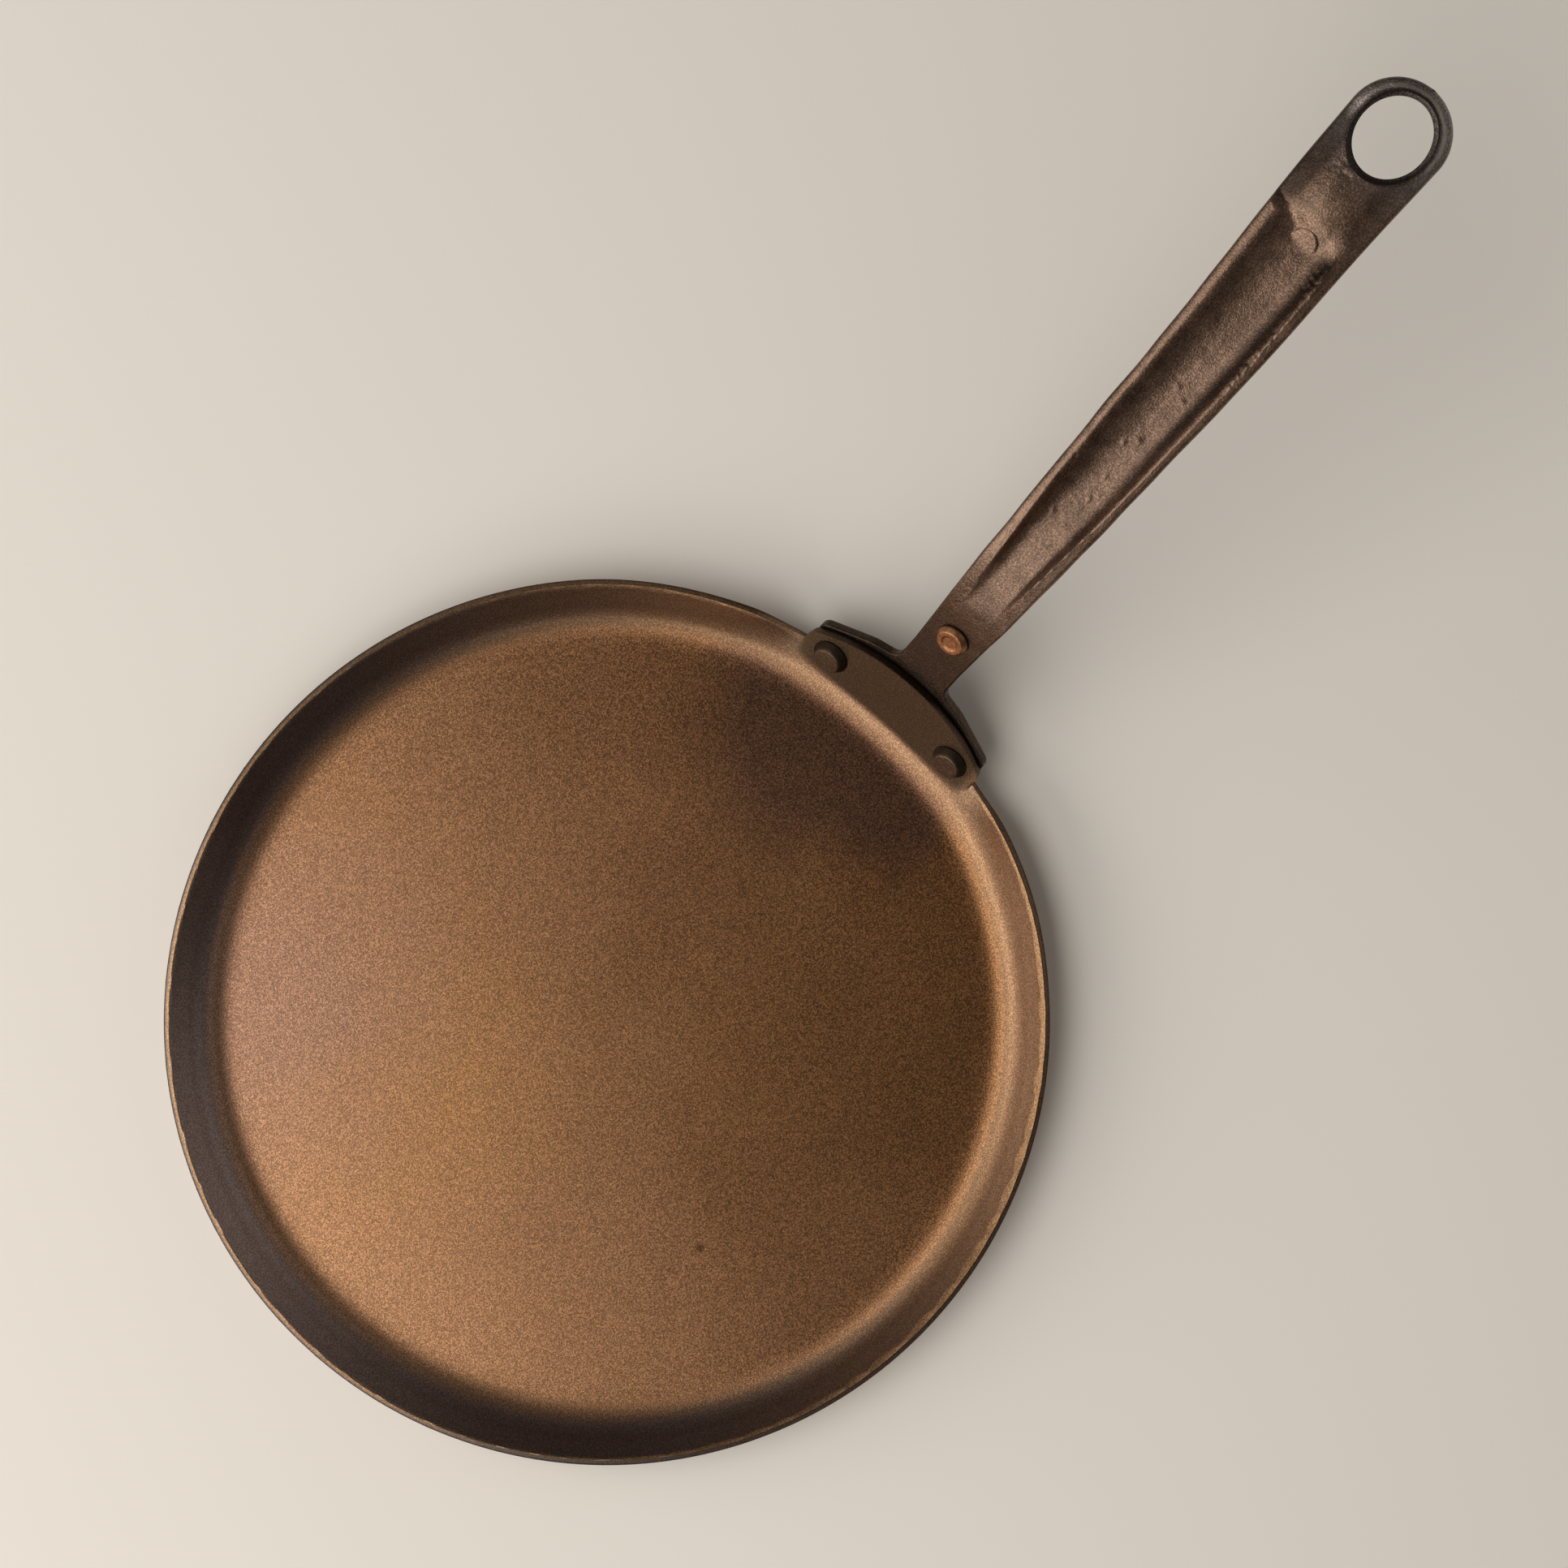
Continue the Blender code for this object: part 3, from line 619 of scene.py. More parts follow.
def top_height(along, across):
    """The top face above the top line: flat neck, trough between ribs, crowned ring."""
    to_edge = edge_share(along, across) ** 2
    hump = np.clip(1 - (along - HUMP[0]) / HUMP[1], 0, 1) ** 2
    hump = hump * (1 - HUMP_SIDE_FALL * to_edge) * rise(across, *HUMP_FROM_RIGHT)
    ridge = np.exp(-(((across - RIDGE_ACROSS) / RIDGE_WIDTH) ** 2))
    ridge = ridge * rise(along, *RIDGE_BEGINS) * (1 - rise(along, *RIDGE_ENDS))
    crown = RIB_HEIGHT - CROWN_FALL * to_edge - HUMP_FALL * hump + RIDGE_HEIGHT * ridge
    ahead = np.clip((along - TROUGH_START) / TROUGH_RUN_IN, 0, 1)
    dug = 1 - (1 - ahead) ** 1.6
    raised = rise(along, TROUGH_START + 0.002, TROUGH_RUN_IN)
    trough = trough_section(along, across)
    trough = np.where(trough < 0, trough * dug, trough * raised)
    tongue = np.hypot(
        np.maximum(along - TONGUE_CENTRE[0], 0) / TONGUE_REACH[0],
        (across - TONGUE_CENTRE[1]) / TONGUE_REACH[1],
    )
    tongue = TONGUE_STEP * (1 - rise(tongue, 0.93, 0.14)) * rise(along, 0.1865, 0.003)
    lip_start = np.interp(across, LIP_ACROSS, LIP_START)
    lip_run = np.interp(across, LIP_ACROSS, LIP_RUN)
    return blend(trough, crown, rise(along, lip_start, lip_run)) + tongue


def forged_relief(along, across, side):
    """Unevenness of the forged skin: hammer waves, and lumps and pits on the top."""
    relief = np.zeros(across.shape)
    if side > 0:
        for centre, offset, reach, height in FORGED_LUMPS:
            relief += height * np.exp(-((along - centre) ** 2 + (across - offset) ** 2) / reach**2)
    pits = np.zeros(across.shape)
    for centre, offset, reach, width, depth in PITTED_PATCHES:
        away = ((along - centre) / reach) ** 2 + ((across - offset) / width) ** 2
        pits = np.maximum(pits, depth * np.exp(-away))
    for index in np.ndindex(across.shape):
        here = Vector((along[index], across[index], side * 0.01))
        relief[index] += 0.00010 * noise.noise(here * 190) + 0.00003 * noise.noise(here * 560)
        if side > 0 and pits[index] > 1e-5:
            relief[index] -= pits[index] * float(smooth(noise.noise(here * 800) * 2.6 + 0.3))
    return relief


def bottom_height(along, across):
    """The underside below the top line: flat plate, deep U under the trough, flat ring."""
    share = np.minimum(edge_share(along, across), 1)
    deepest = TROUGH_DEPTH - RIB_HEIGHT + GRIP_WALL
    bowl = -PLATE_THICKNESS - (deepest - PLATE_THICKNESS) * (1 - share**BOWL_POWER)
    ring = RIB_HEIGHT - RING_THICKNESS
    begun = rise(along, TROUGH_START, TROUGH_RUN_IN)
    ended = rise(along, TROUGH_END - TROUGH_RUN_OUT, RING_CENTRE - TROUGH_END)
    return blend(-PLATE_THICKNESS, blend(bowl, ring, ended), begun)


def handle_skin():
    """Points and masks of wear and painted light of the handle's closed skin, station by station.
    """
    stations = handle_stations()
    along = stations[:, :1]
    half = stations[:, 1:]
    rounding = blend(*EDGE_ROUNDING[:2], rise(along, TROUGH_START, TROUGH_RUN_IN))
    rounding = blend(rounding, EDGE_ROUNDING[2], rise(along, TROUGH_END, 0.02))
    rounding = np.minimum(rounding, half * 0.9)
    turns = np.linspace(0, pi / 2, EDGE_COLUMNS + 1)
    edge = 1 - (1 - np.sin(turns)) * rounding / np.maximum(half, 1e-9)

    def shares(columns):
        middle = np.linspace(-1, 1, columns + 1)[1:-1] * edge[:, :1]
        return np.concatenate([-edge[:, ::-1], middle, edge], 1)

    def face(across, surface, side):
        place = np.broadcast_to(along, across.shape)
        round_ring = (1 - edge_share(place, across)) * RING_HALF_WIDTH
        from_side = np.where(place > RING_CENTRE, round_ring, half - np.abs(across))
        near = np.minimum(from_side, place - BRACKET_LOWER_EDGE)
        near = np.clip(near, 0, rounding)
        drop = rounding - np.sqrt(np.maximum(rounding**2 - (rounding - near) ** 2, 0))
        relief = forged_relief(place, across, side) * rise(place, BRACKET_LOWER_EDGE, 0.05)
        return surface(place, across) - side * drop + relief

    top = shares(TOP_COLUMNS) * half
    under = shares(UNDERSIDE_COLUMNS)[:, ::-1] * half
    upper = face(top, top_height, 1)
    lower = face(under, bottom_height, -1)
    between = np.array([1 / 3, 2 / 3])
    left = blend(upper[:, -1:], lower[:, :1], between)
    right = blend(lower[:, -1:], upper[:, :1], between)
    sides = half * np.ones_like(left)
    across = np.concatenate([top, sides, under, -sides], 1)
    height = np.concatenate([upper, left, lower, right], 1)
    steady = rise(along, 0.03, 0.03) * (1 - rise(along, 0.2, 0.02))
    for side in (-1, 1):
        wave = [[noise.noise(Vector((value * 75, side, 7)))] for value in along[:, 0]]
        outward = np.maximum(side * across / np.maximum(half, 1e-9), 0)
        across = across + side * OUTLINE_WAVE * np.array(wave) * steady * outward**2
    paths = np.array([path_point(value) for value in along[:, 0]])
    x, z, slope = (paths[:, index : index + 1] for index in range(3))
    points = np.stack([x - height * np.sin(slope), across, z + height * np.cos(slope)], 2)
    on_top = np.zeros_like(across)
    on_top[:, : top.shape[1]] = 1
    return points, handle_wear_and_light(np.broadcast_to(along, across.shape), across, half, on_top)


def handle_wear_and_light(along, across, half, on_top):
    """Wear and painted highlight on ribs and the ring's crest above 0, painted shade below it."""
    share = edge_share(along, across)
    inner = 1 - RIB_WIDTH / taper_half_width(along)
    ribs = np.clip(1 - np.abs(2 * (share - inner) / (1 - inner) - 1), 0, 1)
    ribs = np.where(across > 0, ribs * LEFT_RIB_WEAR_AND_LIGHT, ribs)
    # Painted shade in the groove inside the right rib.
    groove_width = blend(*GROOVE_WIDTH, rise(along, 0.120, 0.06))
    groove = np.exp(-(((across + half - GROOVE_INSET) / groove_width) ** 2))
    groove = groove * blend(0.3, 1.0, rise(along, 0.110, 0.02))
    ribs = np.where(across < 0, ribs - groove, ribs)
    wear_and_light = ribs * rise(along, TROUGH_START + 0.004, TROUGH_RUN_IN) * (1 - rise(along, 0.186, 0.006))
    # Painted shade on banks along the crown.
    crowned = rise(along, 0.191, 0.006) * (1 - rise(along, 0.214, 0.010))
    for middle, width, depth in SHADED_BANKS:
        wear_and_light = wear_and_light - depth * np.exp(-(((across - middle) / width) ** 2)) * crowned
    # A painted highlight along the crest round the ring.
    inside = (1 - share) * np.where(along > RING_CENTRE, RING_HALF_WIDTH, half)
    crest = np.exp(-(((inside - RING_CREST_INSET) / RING_CREST_WIDTH) ** 2))
    wear_and_light = wear_and_light + crest * rise(along, RING_CENTRE - 0.008, 0.008)
    # Painted shade along the outer edges.
    brink = np.where(on_top, smooth(1 - inside / 0.0012), 0.4)
    dark_tone_and_shade = brink * np.where(across > 0, *BRINK_SHADE) * rise(along, TROUGH_START, 0.02)
    return wear_and_light * on_top - dark_tone_and_shade


def ring_hole_frame():
    return handle_frame(RING_CENTRE - RING_HOLE_SHIFT, 0)


def ring_hole_cutter():
    """An oval plug that stands square through the ring and flares at both mouths."""
    half = RING_THICKNESS / 2
    turns = [pi / 2 * index / 8 for index in range(9)]
    upper = [(4 * half, RING_HOLE_BEVEL)]
    upper += [(half - RING_HOLE_BEVEL * sin(turn), RING_HOLE_BEVEL * cos(turn)) for turn in turns]
    bm = bmesh.new()
    for up, flare in upper + [(-up, flare) for up, flare in upper[::-1]]:
        made = bmesh.ops.create_circle(bm, segments=128, radius=1.0)
        reach = (RING_HOLE_HALF_LENGTH + flare, RING_HOLE_HALF_WIDTH + flare, 1, 1)
        place = Matrix.Translation((0, 0, RIB_HEIGHT - half + up)) @ Matrix.Diagonal(reach)
        bmesh.ops.transform(bm, matrix=place, verts=made["verts"])
    bmesh.ops.bridge_loops(bm, edges=bm.edges[:])
    bmesh.ops.holes_fill(bm, edges=[edge for edge in bm.edges if edge.is_boundary])
    bmesh.ops.recalc_face_normals(bm, faces=bm.faces)
    bmesh.ops.transform(bm, matrix=ring_hole_frame(), verts=bm.verts)
    return linked("ring_hole", bm)


def forged_handle(material):
    points, wear_and_light = handle_skin()
    bm = wrapped_grid(points.transpose(1, 0, 2), wear_and_light.T)
    bmesh.ops.holes_fill(bm, edges=[edge for edge in bm.edges if edge.is_boundary])
    bmesh.ops.recalc_face_normals(bm, faces=bm.faces)
    piece = finished("forged_handle", bm, material, "handle")
    cut_away(piece, ring_hole_cutter())
    piece.data.set_sharp_from_angle(angle=SHARP_ANGLE)


# ---- rivets


def turned(profile, place):
    """(radius, height) points spun into a closed rivet and set in its place."""
    bm = bmesh.new()
    verts = [bm.verts.new((radius, 0, height)) for radius, height in profile]
    edges = [bm.edges.new(pair) for pair in zip(verts, verts[1:])]
    spun = {"steps": RIVET_SIDES, "angle": 2 * pi, "axis": (0, 0, 1), "cent": (0, 0, 0)}
    bmesh.ops.spin(bm, geom=verts + edges, use_merge=True, **spun)
    bmesh.ops.remove_doubles(bm, verts=bm.verts, dist=1e-7)
    bmesh.ops.recalc_face_normals(bm, faces=bm.faces)
    bmesh.ops.transform(bm, matrix=place, verts=bm.verts)
    return bm


def dome(radius, base, height, rows):
    """(radius, height) points of a ball's cap from its rim up to its middle."""
    ball = (radius**2 + height**2) / (2 * height)
    opening = asin(min(radius / ball, 1))
    points = []
    for row in range(rows + 1):
        angle = opening * (1 - row / rows)
        points.append((ball * sin(angle), base + height - ball + ball * cos(angle)))
    return points


def rounded_profile(corners):
    """(radius, height) points with each (radius, height, rounding) corner rounded."""
    points = [corners[0][:2]]
    for before, corner, after in zip(corners, corners[1:], corners[2:]):
        here = Vector(corner[:2])
        if corner[2] == 0:
            points.append(tuple(here))
            continue
        start = here + (Vector(before[:2]) - here).normalized() * corner[2]
        end = here + (Vector(after[:2]) - here).normalized() * corner[2]
        for index in range(ROUNDING_STEPS + 1):
            share = index / ROUNDING_STEPS
            points.append(tuple(start.lerp(here, share).lerp(here.lerp(end, share), share)))
    points.append(corners[-1][:2])
    return points


def wall_rivet_frame(side):
    place = ear_point(side * WALL_RIVET_SPACING / 2, WALL_RIVET_HEIGHT)
    return Matrix.Translation(place) @ EAR_OUTWARD.to_track_quat("Z", "Y").to_matrix().to_4x4()


def wall_stud(name, side, material, node):
    seat = SHEET + SEAT_GAP + PLATE_THICKNESS + SEAT_GAP
    profile = rounded_profile(
        (
            (0, -WALL_RIVET_STUB, 0),
            (WALL_RIVET_END_RADIUS, -WALL_RIVET_STUB, 0.0003),
            (WALL_RIVET_COLLAR_RADIUS, -SEAT_GAP, 0.0002),
            (WALL_RIVET_RADIUS, -SEAT_GAP, 0),
            (WALL_RIVET_RADIUS, seat, 0),
            (WALL_RIVET_HEAD_RADIUS, seat, 0),
        )
    )
    profile += dome(WALL_RIVET_HEAD_RADIUS, seat, WALL_RIVET_HEAD_HEIGHT, 16)[1:]
    bm = turned(profile, wall_rivet_frame(side))
    finished(name, bm, material, node)


def copper_button(material):
    seat = SEAT_GAP
    face = seat + COPPER_HEAD_HEIGHT
    tail = -PLATE_THICKNESS - SEAT_GAP
    profile = rounded_profile(
        (
            (0, face - COPPER_DISH_DEPTH, 0),
            (COPPER_DISH_FLOOR_RADIUS, face - COPPER_DISH_DEPTH, 0.0002),
            (COPPER_DISH_RADIUS, face, 0.0002),
            (COPPER_HEAD_RADIUS - COPPER_BEVEL_WIDTH, face, 0.0003),
            (COPPER_HEAD_RADIUS, seat + COPPER_SIDE_HEIGHT, 0.0003),
            (COPPER_HEAD_RADIUS, seat, 0.0001),
            (COPPER_SHANK_RADIUS, seat, 0),
            (COPPER_SHANK_RADIUS, tail, 0),
            (COPPER_TAIL_RADIUS, tail, 0),
        )
    )
    closed_end = dome(COPPER_TAIL_RADIUS, 0, COPPER_TAIL_HEIGHT, 10)[1:]
    profile += [(radius, tail - height) for radius, height in closed_end]
    bm = turned(profile, handle_frame(COPPER_PLACE, 0))
    finished("copper_button", bm, material, "copper_rivet")


# ---- finishes


def feed(tree, socket, value):
    """Links a socket to another one, or sets its constant."""
    if isinstance(value, bpy.types.NodeSocket):
        tree.links.new(value, socket)
    else:
        socket.default_value = value


def add(tree, kind, **settings):
    """A node with its named settings and inputs."""
    made = tree.nodes.new("ShaderNode" + kind)
    for name, value in settings.items():
        if hasattr(made, name) and name not in made.inputs:
            setattr(made, name, value)
        else:
            feed(tree, made.inputs[name.replace("_", " ")], value)
    return made


def maths(tree, operation, first, second=0.0):
    made = add(tree, "Math", operation=operation)
    feed(tree, made.inputs[0], first)
    feed(tree, made.inputs[1], second)
    return made.outputs[0]


def vector_maths(tree, operation, first, second):
    """The outputs of a vector operation: 0 is a vector, 1 a number."""
    made = add(tree, "VectorMath", operation=operation)
    feed(tree, made.inputs[0], first)
    feed(tree, made.inputs["Scale" if operation == "SCALE" else 1], second)
    return made.outputs


def mix(tree, share, first, second):
    """One colour turned into another by a share."""
    made = add(tree, "Mix", data_type="RGBA")
    for index, value in ((0, share), (6, first), (7, second)):
        feed(tree, made.inputs[index], (*value, 1) if isinstance(value, tuple) else value)
    return made.outputs[2]


def spread(tree, value, low, high, to_low=0.0, to_high=1.0):
    """A range of values stretched to another range and held at its ends."""
    made = add(tree, "MapRange")
    for socket, number in zip(made.inputs, (value, low, high, to_low, to_high)):
        feed(tree, socket, number)
    return made.outputs[0]


def new_group(name, inputs, outputs):
    """An empty group with inputs {name: value} and number outputs; its inner sockets by name."""
    tree = bpy.data.node_groups.new(name, "ShaderNodeTree")
    for label, value in inputs.items():
        kind = "NodeSocketVector" if isinstance(value, tuple) else "NodeSocketFloat"
        socket = tree.interface.new_socket(name=label, in_out="INPUT", socket_type=kind)
        socket.default_value = value
    for label in outputs:
        tree.interface.new_socket(name=label, in_out="OUTPUT", socket_type="NodeSocketFloat")
    given = tree.nodes.new("NodeGroupInput").outputs
    return tree, given, tree.nodes.new("NodeGroupOutput").inputs


def use(tree, group, **values):
    """The outputs of a group used with its named inputs."""
    made = tree.nodes.new("ShaderNodeGroup")
    made.node_tree = group
    for name, value in values.items():
        feed(tree, made.inputs[name.replace("_", " ")], value)
    return made.outputs


def pebble_grain_group():
    """Fine rounded pebbles: their height and a mask of their crowns."""
    inputs = {"Place": (0, 0, 0), "Grain Size": 0.0005, "Unevenness": 0.3}
    tree, given, made = new_group("pebble_grain", inputs, ("Height", "Crowns"))
    place = given["Place"]
    scale = maths(tree, "DIVIDE", 1.0, given["Grain Size"])
    fine = add(tree, "TexNoise", Vector=place, Scale=scale, Detail=2.0, Roughness=0.6).outputs[0]
    wider = maths(tree, "MULTIPLY", scale, 0.22)
    broad = add(tree, "TexNoise", Vector=place, Scale=wider, Detail=1.0).outputs[0]
    uneven = maths(tree, "MULTIPLY", broad, given["Unevenness"])
    feed(tree, made["Height"], maths(tree, "ADD", fine, uneven))
    feed(tree, made["Crowns"], spread(tree, fine, 0.42, 0.68))
    return tree


def soft_patch_group():
    """A soft-edged, slightly ragged patch round a centre."""
    inputs = {"Place": (0, 0, 0), "Centre": (0, 0, 0), "Radius": 0.05, "Raggedness": 0.3}
    tree, given, made = new_group("soft_patch", inputs, ("Mask",))
    place = given["Place"]
    away = vector_maths(tree, "DISTANCE", place, given["Centre"])["Value"]
    share = maths(tree, "DIVIDE", away, given["Radius"])
    cloud = add(tree, "TexNoise", Vector=place, Scale=38.0, Detail=3.0).outputs[0]
    ragged = maths(tree, "SUBTRACT", cloud, 0.5)
    ragged = maths(tree, "MULTIPLY", ragged, given["Raggedness"])
    share = maths(tree, "ADD", share, maths(tree, "MULTIPLY", ragged, 2.0))
    feed(tree, made["Mask"], spread(tree, share, 0.25, 1.0, 1.0, 0.0))
    return tree


def scuffed_wear_and_light_group():
    """Breaks a mask of wear and painted light up into scuffs."""
    inputs = {"Place": (0, 0, 0), "Wear": 0.0, "Scuff Size": 0.002, "Breakup": 0.5}
    tree, given, made = new_group("scuffed_wear_and_light", inputs, ("Mask",))
    place = given["Place"]
    scale = maths(tree, "DIVIDE", 1.0, given["Scuff Size"])
    scuffs = add(tree, "TexNoise", Vector=place, Scale=scale, Detail=4.0, Roughness=0.65)
    broken = maths(tree, "SUBTRACT", scuffs.outputs[0], 0.5)
    broken = maths(tree, "MULTIPLY", broken, given["Breakup"])
    scuffer = maths(tree, "ADD", given["Wear"], maths(tree, "MULTIPLY", broken, 2.0))
    feed(tree, made["Mask"], spread(tree, scuffer, 0.35, 0.75))
    return tree


def new_material(name):
    material = bpy.data.materials.new(name)
    material.use_nodes = True
    tree = material.node_tree
    return material, tree, tree.nodes.new("ShaderNodeTexCoord").outputs["Object"]


def finish(tree, colour, metallic, roughness, height, strength, depth):
    """Sets the shader's colour, metal, roughness and bump, and gives back its inputs."""
    inputs = tree.nodes["Principled BSDF"].inputs
    bump = add(tree, "Bump", Strength=strength, Distance=depth, Height=height)
    feed(tree, inputs["Base Color"], colour)
    feed(tree, inputs["Metallic"], metallic)
    feed(tree, inputs["Roughness"], roughness)
    feed(tree, inputs["Normal"], bump.outputs[0])
    return inputs


def seasoned_steel(grain, patch, scuffer):
    material, tree, place = new_material("seasoned_steel")
    x, y, z = add(tree, "SeparateXYZ", Vector=place).outputs
    wear_and_light = add(tree, "Attribute", attribute_name="wear_and_light").outputs["Fac"]

    # The floor turns from dull brown to gold towards the lamps: painted light, partly the
    # patina's real tone.
    cloud = add(tree, "TexNoise", Vector=place, Scale=22.0, Detail=3.0).outputs[0]
    drift = vector_maths(tree, "DOT_PRODUCT", place, LAMP_SIDE_WAY)["Value"]
    drift = maths(tree, "ADD", drift, spread(tree, cloud, 0.0, 1.0, -0.025, 0.025))
    lit_side = spread(tree, drift, -0.10, 0.10)
    colour = mix(tree, lit_side, (0.310, 0.134, 0.047), (0.52, 0.260, 0.125))
    for centre, radius, (low, high, most), tint in LIGHT_AND_PATINA_PATCHES:
        spot = use(tree, patch, Place=place, Centre=centre, Radius=radius)["Mask"]
        colour = mix(tree, spread(tree, spot, low, high, 0.0, most), colour, tint)

    # The bend and the wall: a pale tint of painted highlight on the bend that faces the lamps,
    # duller brown up the wall, and on the walls turned from the lamps a grey film with painted
    # shade, paler where a painted reflection falls.
    rightward = spread(tree, drift, 0.0, 0.06, 0.8, 0.0)
    highlit_fillet = maths(tree, "MULTIPLY", spread(tree, z, 0.0024, 0.0036), rightward)
    colour = mix(tree, highlit_fillet, colour, (0.345, 0.196, 0.102))
    risen = spread(tree, z, 0.0045, 0.0075, 0.0, 0.7)
    colour = mix(tree, risen, colour, (0.25, 0.150, 0.086))
    wall = spread(tree, z, 0.0024, 0.0048)
    grey_film_and_shade = maths(tree, "MULTIPLY", wall, spread(tree, drift, -0.06, 0.03, 0.0, 0.85))
    pale = spread(tree, z, 0.0045, 0.0085, 0.4, 1.0)
    pale = maths(tree, "MULTIPLY", spread(tree, drift, 0.06, 0.10), pale)
    shaded_haze = mix(tree, pale, (0.150, 0.116, 0.108), (0.270, 0.208, 0.190))
    colour = mix(tree, grey_film_and_shade, colour, shaded_haze)

    # The ear, painted darker: painted shade on its steep face.
    ear = maths(tree, "MULTIPLY", spread(tree, x, 0.1088, 0.1105), 0.9)
    ear = maths(tree, "MULTIPLY", ear, spread(tree, z, 0.0052, 0.0064))
    aside = spread(tree, maths(tree, "ABSOLUTE", y), 0.0285, 0.0310, 1.0, 0.0)
    colour = mix(tree, maths(tree, "MULTIPLY", ear, aside), colour, (0.084, 0.053, 0.027))

    # The ground rim: bare metal with painted highlight, brighter towards the lamps, and painted
    # shade below 0; then the grain's bright crowns over all.
    pebbles = use(tree, grain, Place=place, Grain_Size=0.00036, Unevenness=0.3)
    uneven = maths(tree, "SUBTRACT", spread(tree, drift, -0.06, 0.05, 1.25, 0.92), highlit_fillet)
    uneven = maths(tree, "MAXIMUM", uneven, 0.92)
    crowns = maths(tree, "MULTIPLY", maths(tree, "SUBTRACT", pebbles["Crowns"], 0.5), uneven)
    crowns = maths(tree, "MAXIMUM", maths(tree, "ADD", crowns, 1.0), 0.1)
    bright = use(tree, scuffer, Place=place, Wear=wear_and_light, Scuff_Size=0.0015, Breakup=0.35)["Mask"]
    ground = mix(tree, spread(tree, drift, 0.0, 0.06), (0.37, 0.205, 0.100), (0.56, 0.31, 0.125))
    colour = mix(tree, maths(tree, "MULTIPLY", bright, 0.75), colour, ground)
    # Painted shade where the mask is below 0.
    dark_tone_and_shade = spread(tree, wear_and_light, -1.0, 0.0, 0.9, 0.0)
    colour = mix(tree, dark_tone_and_shade, colour, (0.050, 0.032, 0.026))
    colour = vector_maths(tree, "SCALE", colour, crowns)[0]

    roughness = spread(tree, cloud, 0.3, 0.7, 0.29, 0.34)
    roughness = maths(tree, "ADD", roughness, maths(tree, "MULTIPLY", wall, 0.10))
    inputs = finish(tree, colour, 0.95, roughness, pebbles["Height"], 0.32, 0.00012)
    coat = spread(tree, grey_film_and_shade, 0.0, 0.85, 0.15, 0.6)
    coat = maths(tree, "SUBTRACT", coat, maths(tree, "ADD", dark_tone_and_shade, bright))
    feed(tree, inputs["Coat Weight"], maths(tree, "MAXIMUM", coat, 0.0))
    feed(tree, inputs["Coat Roughness"], 0.35)
    return material


def handle_steel(grain, scuffer):
    material, tree, place = new_material("handle_steel")
    x = add(tree, "SeparateXYZ", Vector=place).outputs["X"]
    wear_and_light = add(tree, "Attribute", attribute_name="wear_and_light").outputs["Fac"]
    forged = add(tree, "TexNoise", Vector=place, Scale=160.0, Detail=6.0, Roughness=0.6).outputs[0]
    mottled = spread(tree, forged, 0.35, 0.65)
    colour = mix(tree, mottled, (0.15, 0.090, 0.058), (0.25, 0.150, 0.098))

    # Pale grey towards the ring, partly painted reflection; darker near the pan, painted shade on
    # the bracket behind the ear and partly the neck's own tone; painted shade below 0 and in the
    # mouth of the ring's hole.
    pale = spread(tree, x, 0.280, 0.298)
    colour = mix(tree, maths(tree, "MULTIPLY", pale, 0.8), colour, (0.22, 0.180, 0.162))
    dark_tone_and_shade = spread(tree, x, 0.134, 0.158, 0.93, 0.0)
    colour = mix(tree, dark_tone_and_shade, colour, (0.054, 0.032, 0.018))
    # Painted shade where the mask is below 0.
    colour = mix(tree, spread(tree, wear_and_light, -1.0, 0.0, 0.9, 0.0), colour, (0.034, 0.020, 0.012))
    oval = vector_maths(tree, "MULTIPLY", place, (1.0, 1.14, 1.0))[0]
    away = vector_maths(tree, "DISTANCE", oval, ring_hole_frame().translation)["Value"]
    # Painted shade in the mouth of the ring's hole.
    mouth = spread(tree, away, 0.0122, 0.0132, 0.9, 0.0)
    colour = mix(tree, mouth, colour, (0.040, 0.030, 0.025))

    # The grain's crowns, and bright metal where the ribs and the ring's crest are rubbed, with a
    # painted highlight on them.
    pebbles = use(tree, grain, Place=place, Grain_Size=0.0005, Unevenness=0.4)
    brighter = spread(tree, x, 0.19, 0.26, 1.0, 1.25)
    crowns = spread(tree, pebbles["Crowns"], 0.0, 1.0, 0.6, 1.4)
    colour = vector_maths(tree, "SCALE", colour, maths(tree, "MULTIPLY", crowns, brighter))[0]
    bright = use(tree, scuffer, Place=place, Wear=wear_and_light, Scuff_Size=0.003, Breakup=0.7)["Mask"]
    rubbed_and_lit = mix(tree, pale, (0.34, 0.205, 0.13), (0.60, 0.49, 0.43))
    colour = mix(tree, maths(tree, "MULTIPLY", bright, 0.5), colour, rubbed_and_lit)

    roughness = spread(tree, forged, 0.3, 0.7, 0.34, 0.44)
    inputs = finish(tree, colour, 0.95, roughness, pebbles["Height"], 0.65, 0.00022)
    coat = maths(tree, "SUBTRACT", spread(tree, pale, 0.0, 1.0, 0.2, 0.8), mouth)
    feed(tree, inputs["Coat Weight"], maths(tree, "MAXIMUM", coat, 0.0))
    feed(tree, inputs["Coat Roughness"], 0.38)
    return material


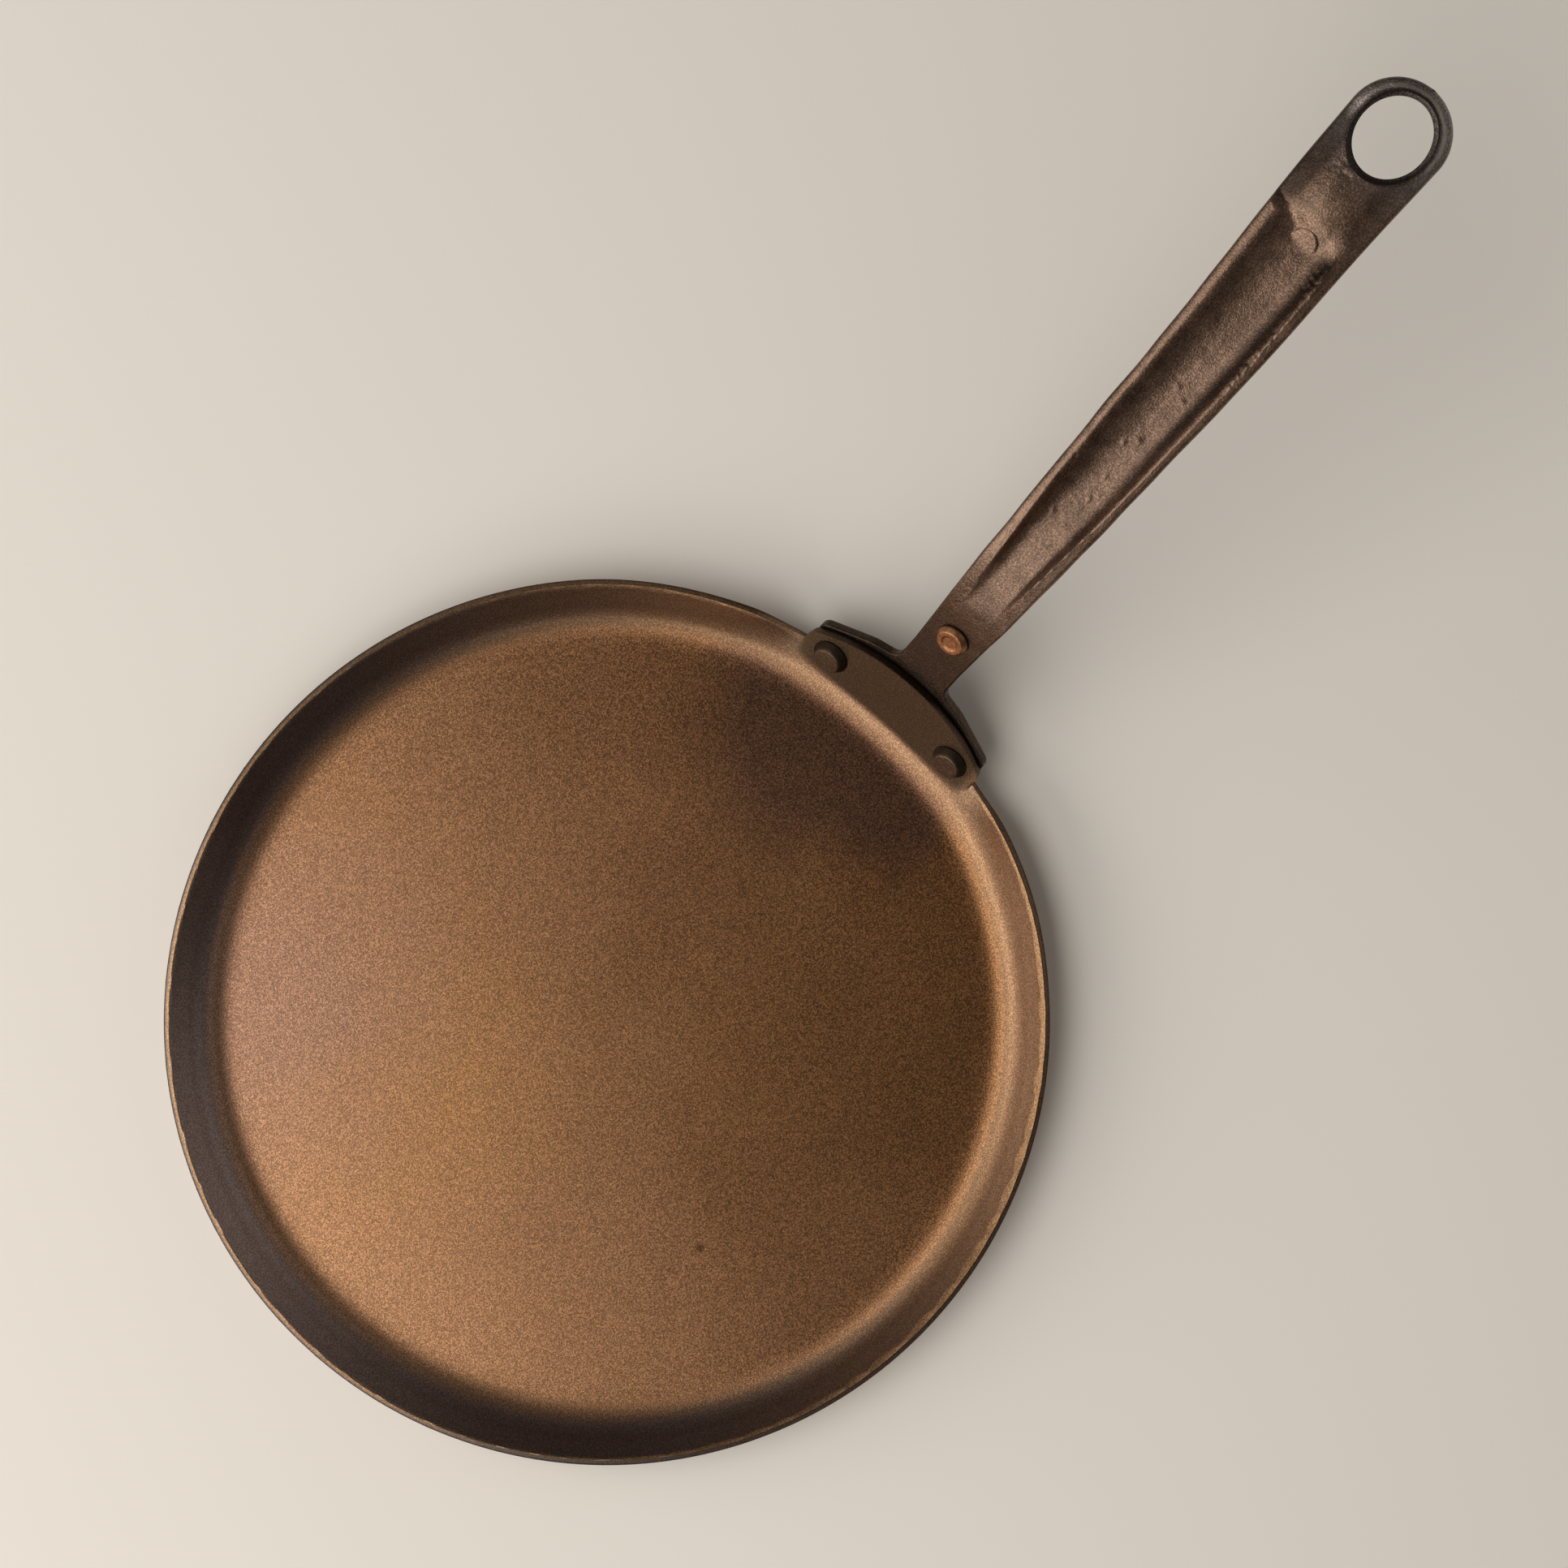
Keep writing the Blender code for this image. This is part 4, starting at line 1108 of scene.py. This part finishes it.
def rivet_steel(grain):
    """Dull steel, with painted shade on the stubs' slanted sides and collars."""
    material, tree, place = new_material("rivet_steel")
    pebbles = use(tree, grain, Place=place, Grain_Size=0.0007, Unevenness=0.6)
    colour = mix(tree, pebbles["Crowns"], (0.075, 0.047, 0.027), (0.135, 0.084, 0.048))
    through = vector_maths(tree, "DOT_PRODUCT", place, EAR_OUTWARD)["Value"]
    face = ear_point(0, 0).dot(EAR_OUTWARD) - WALL_RIVET_STUB
    side = spread(tree, through, face + 0.0002, face + 0.0008, 0.0, 0.8)
    ends = spread(tree, through, face + 0.003, face + 0.004, 1.0, 0.0)
    colour = mix(tree, maths(tree, "MULTIPLY", side, ends), colour, (0.022, 0.013, 0.008))
    finish(tree, colour, 0.9, 0.42, pebbles["Height"], 0.35, 0.00015)
    return material


def copper(grain):
    material, tree, place = new_material("copper")
    pebbles = use(tree, grain, Place=place, Grain_Size=0.0008, Unevenness=0.6)
    colour = mix(tree, pebbles["Crowns"], (0.27, 0.122, 0.056), (0.40, 0.200, 0.098))
    finish(tree, colour, 1.0, 0.4, pebbles["Height"], 0.2, 0.0001)
    return material


# ---- setting

PICTURE_RIGHT = Vector((0.6626, -0.749, 0)).normalized()
PICTURE_UP = Vector((0, 0, 1)).cross(PICTURE_RIGHT)
CAMERA_PLACE = (0.0800, 0.0068, 1.0139)
PICTURE_WIDTH = 1932
FOCAL_PIXELS = 4560
LAMP_AIM = Vector((0.08, 0, 0.02))
LAMP_DISTANCE = 1.5


def picture_direction(azimuth, elevation):
    """A direction by its azimuth from the picture's right and its height above the floor."""
    turn, climb = radians(azimuth), radians(elevation)
    level = PICTURE_RIGHT * cos(turn) + PICTURE_UP * sin(turn)
    return level * cos(climb) + Vector((0, 0, sin(climb)))


def soft_lamp(name, azimuth, elevation, size, power, lean=0):
    """An oval lamp, size (width, height), turned to the pan and leaned about its own axis."""
    lamp = bpy.data.lights.new(name, "AREA")
    lamp.shape = "ELLIPSE"
    lamp.size, lamp.size_y = size
    lamp.energy = power
    made = bpy.data.objects.new(name, lamp)
    bpy.context.scene.collection.objects.link(made)
    made.location = LAMP_AIM + picture_direction(azimuth, elevation) * LAMP_DISTANCE
    aim = (LAMP_AIM - made.location).to_track_quat("-Z", "Y").to_matrix()
    made.rotation_euler = (aim @ Matrix.Rotation(radians(lean), 3, "Z")).to_euler()


def pale_floor():
    bm = bmesh.new()
    bmesh.ops.create_grid(bm, x_segments=1, y_segments=1, size=8.0)
    floor = linked("pale_floor", bm)
    material = bpy.data.materials.new("pale_floor")
    material.use_nodes = True
    shader = material.node_tree.nodes["Principled BSDF"]
    shader.inputs["Base Color"].default_value = (1.0, 0.915, 0.805, 1)
    shader.inputs["Roughness"].default_value = 0.6
    shader.inputs["Specular IOR Level"].default_value = 0.2
    floor.data.materials.append(material)


def setting():
    scene = bpy.context.scene
    pale_floor()
    soft_lamp("main_lamp", 204, 22, (3.1, 0.75), 17, lean=9)
    soft_lamp("high_lamp", 198, 60, (2.0, 0.9), 9.5)
    soft_lamp("low_fill_lamp", 22, 10, (1.8, 0.5), 1.8)
    soft_lamp("high_fill_lamp", 10, 48, (1.8, 0.9), 1.0)
    soft_lamp("left_side_lamp", 148, 30, (0.9, 0.6), 1.1)
    soft_lamp("low_side_lamp", 262, 32, (0.9, 0.6), 0.7)
    world = bpy.data.worlds.new("room")
    world.use_nodes = True
    background = world.node_tree.nodes["Background"]
    background.inputs["Color"].default_value = (0.09, 0.087, 0.083, 1)
    scene.world = world
    camera = bpy.data.cameras.new("camera")
    camera.sensor_width = 36
    camera.lens = camera.sensor_width * FOCAL_PIXELS / PICTURE_WIDTH
    camera.clip_start = 0.01
    made = bpy.data.objects.new("camera", camera)
    scene.collection.objects.link(made)
    axes = Matrix((PICTURE_RIGHT, PICTURE_UP, Vector((0, 0, 1)))).transposed().to_4x4()
    made.matrix_world = Matrix.Translation(CAMERA_PLACE) @ axes
    scene.camera = made
    scene.view_settings.view_transform = "Standard"


def build():
    grain, patch, scuffer = pebble_grain_group(), soft_patch_group(), scuffed_wear_and_light_group()
    stud_steel = rivet_steel(grain)
    pan_sheet(seasoned_steel(grain, patch, scuffer))
    forged_handle(handle_steel(grain, scuffer))
    wall_stud("left_wall_stud", 1, stud_steel, "wall_rivet_left")
    wall_stud("right_wall_stud", -1, stud_steel, "wall_rivet_right")
    copper_button(copper(grain))
    setting()


build()
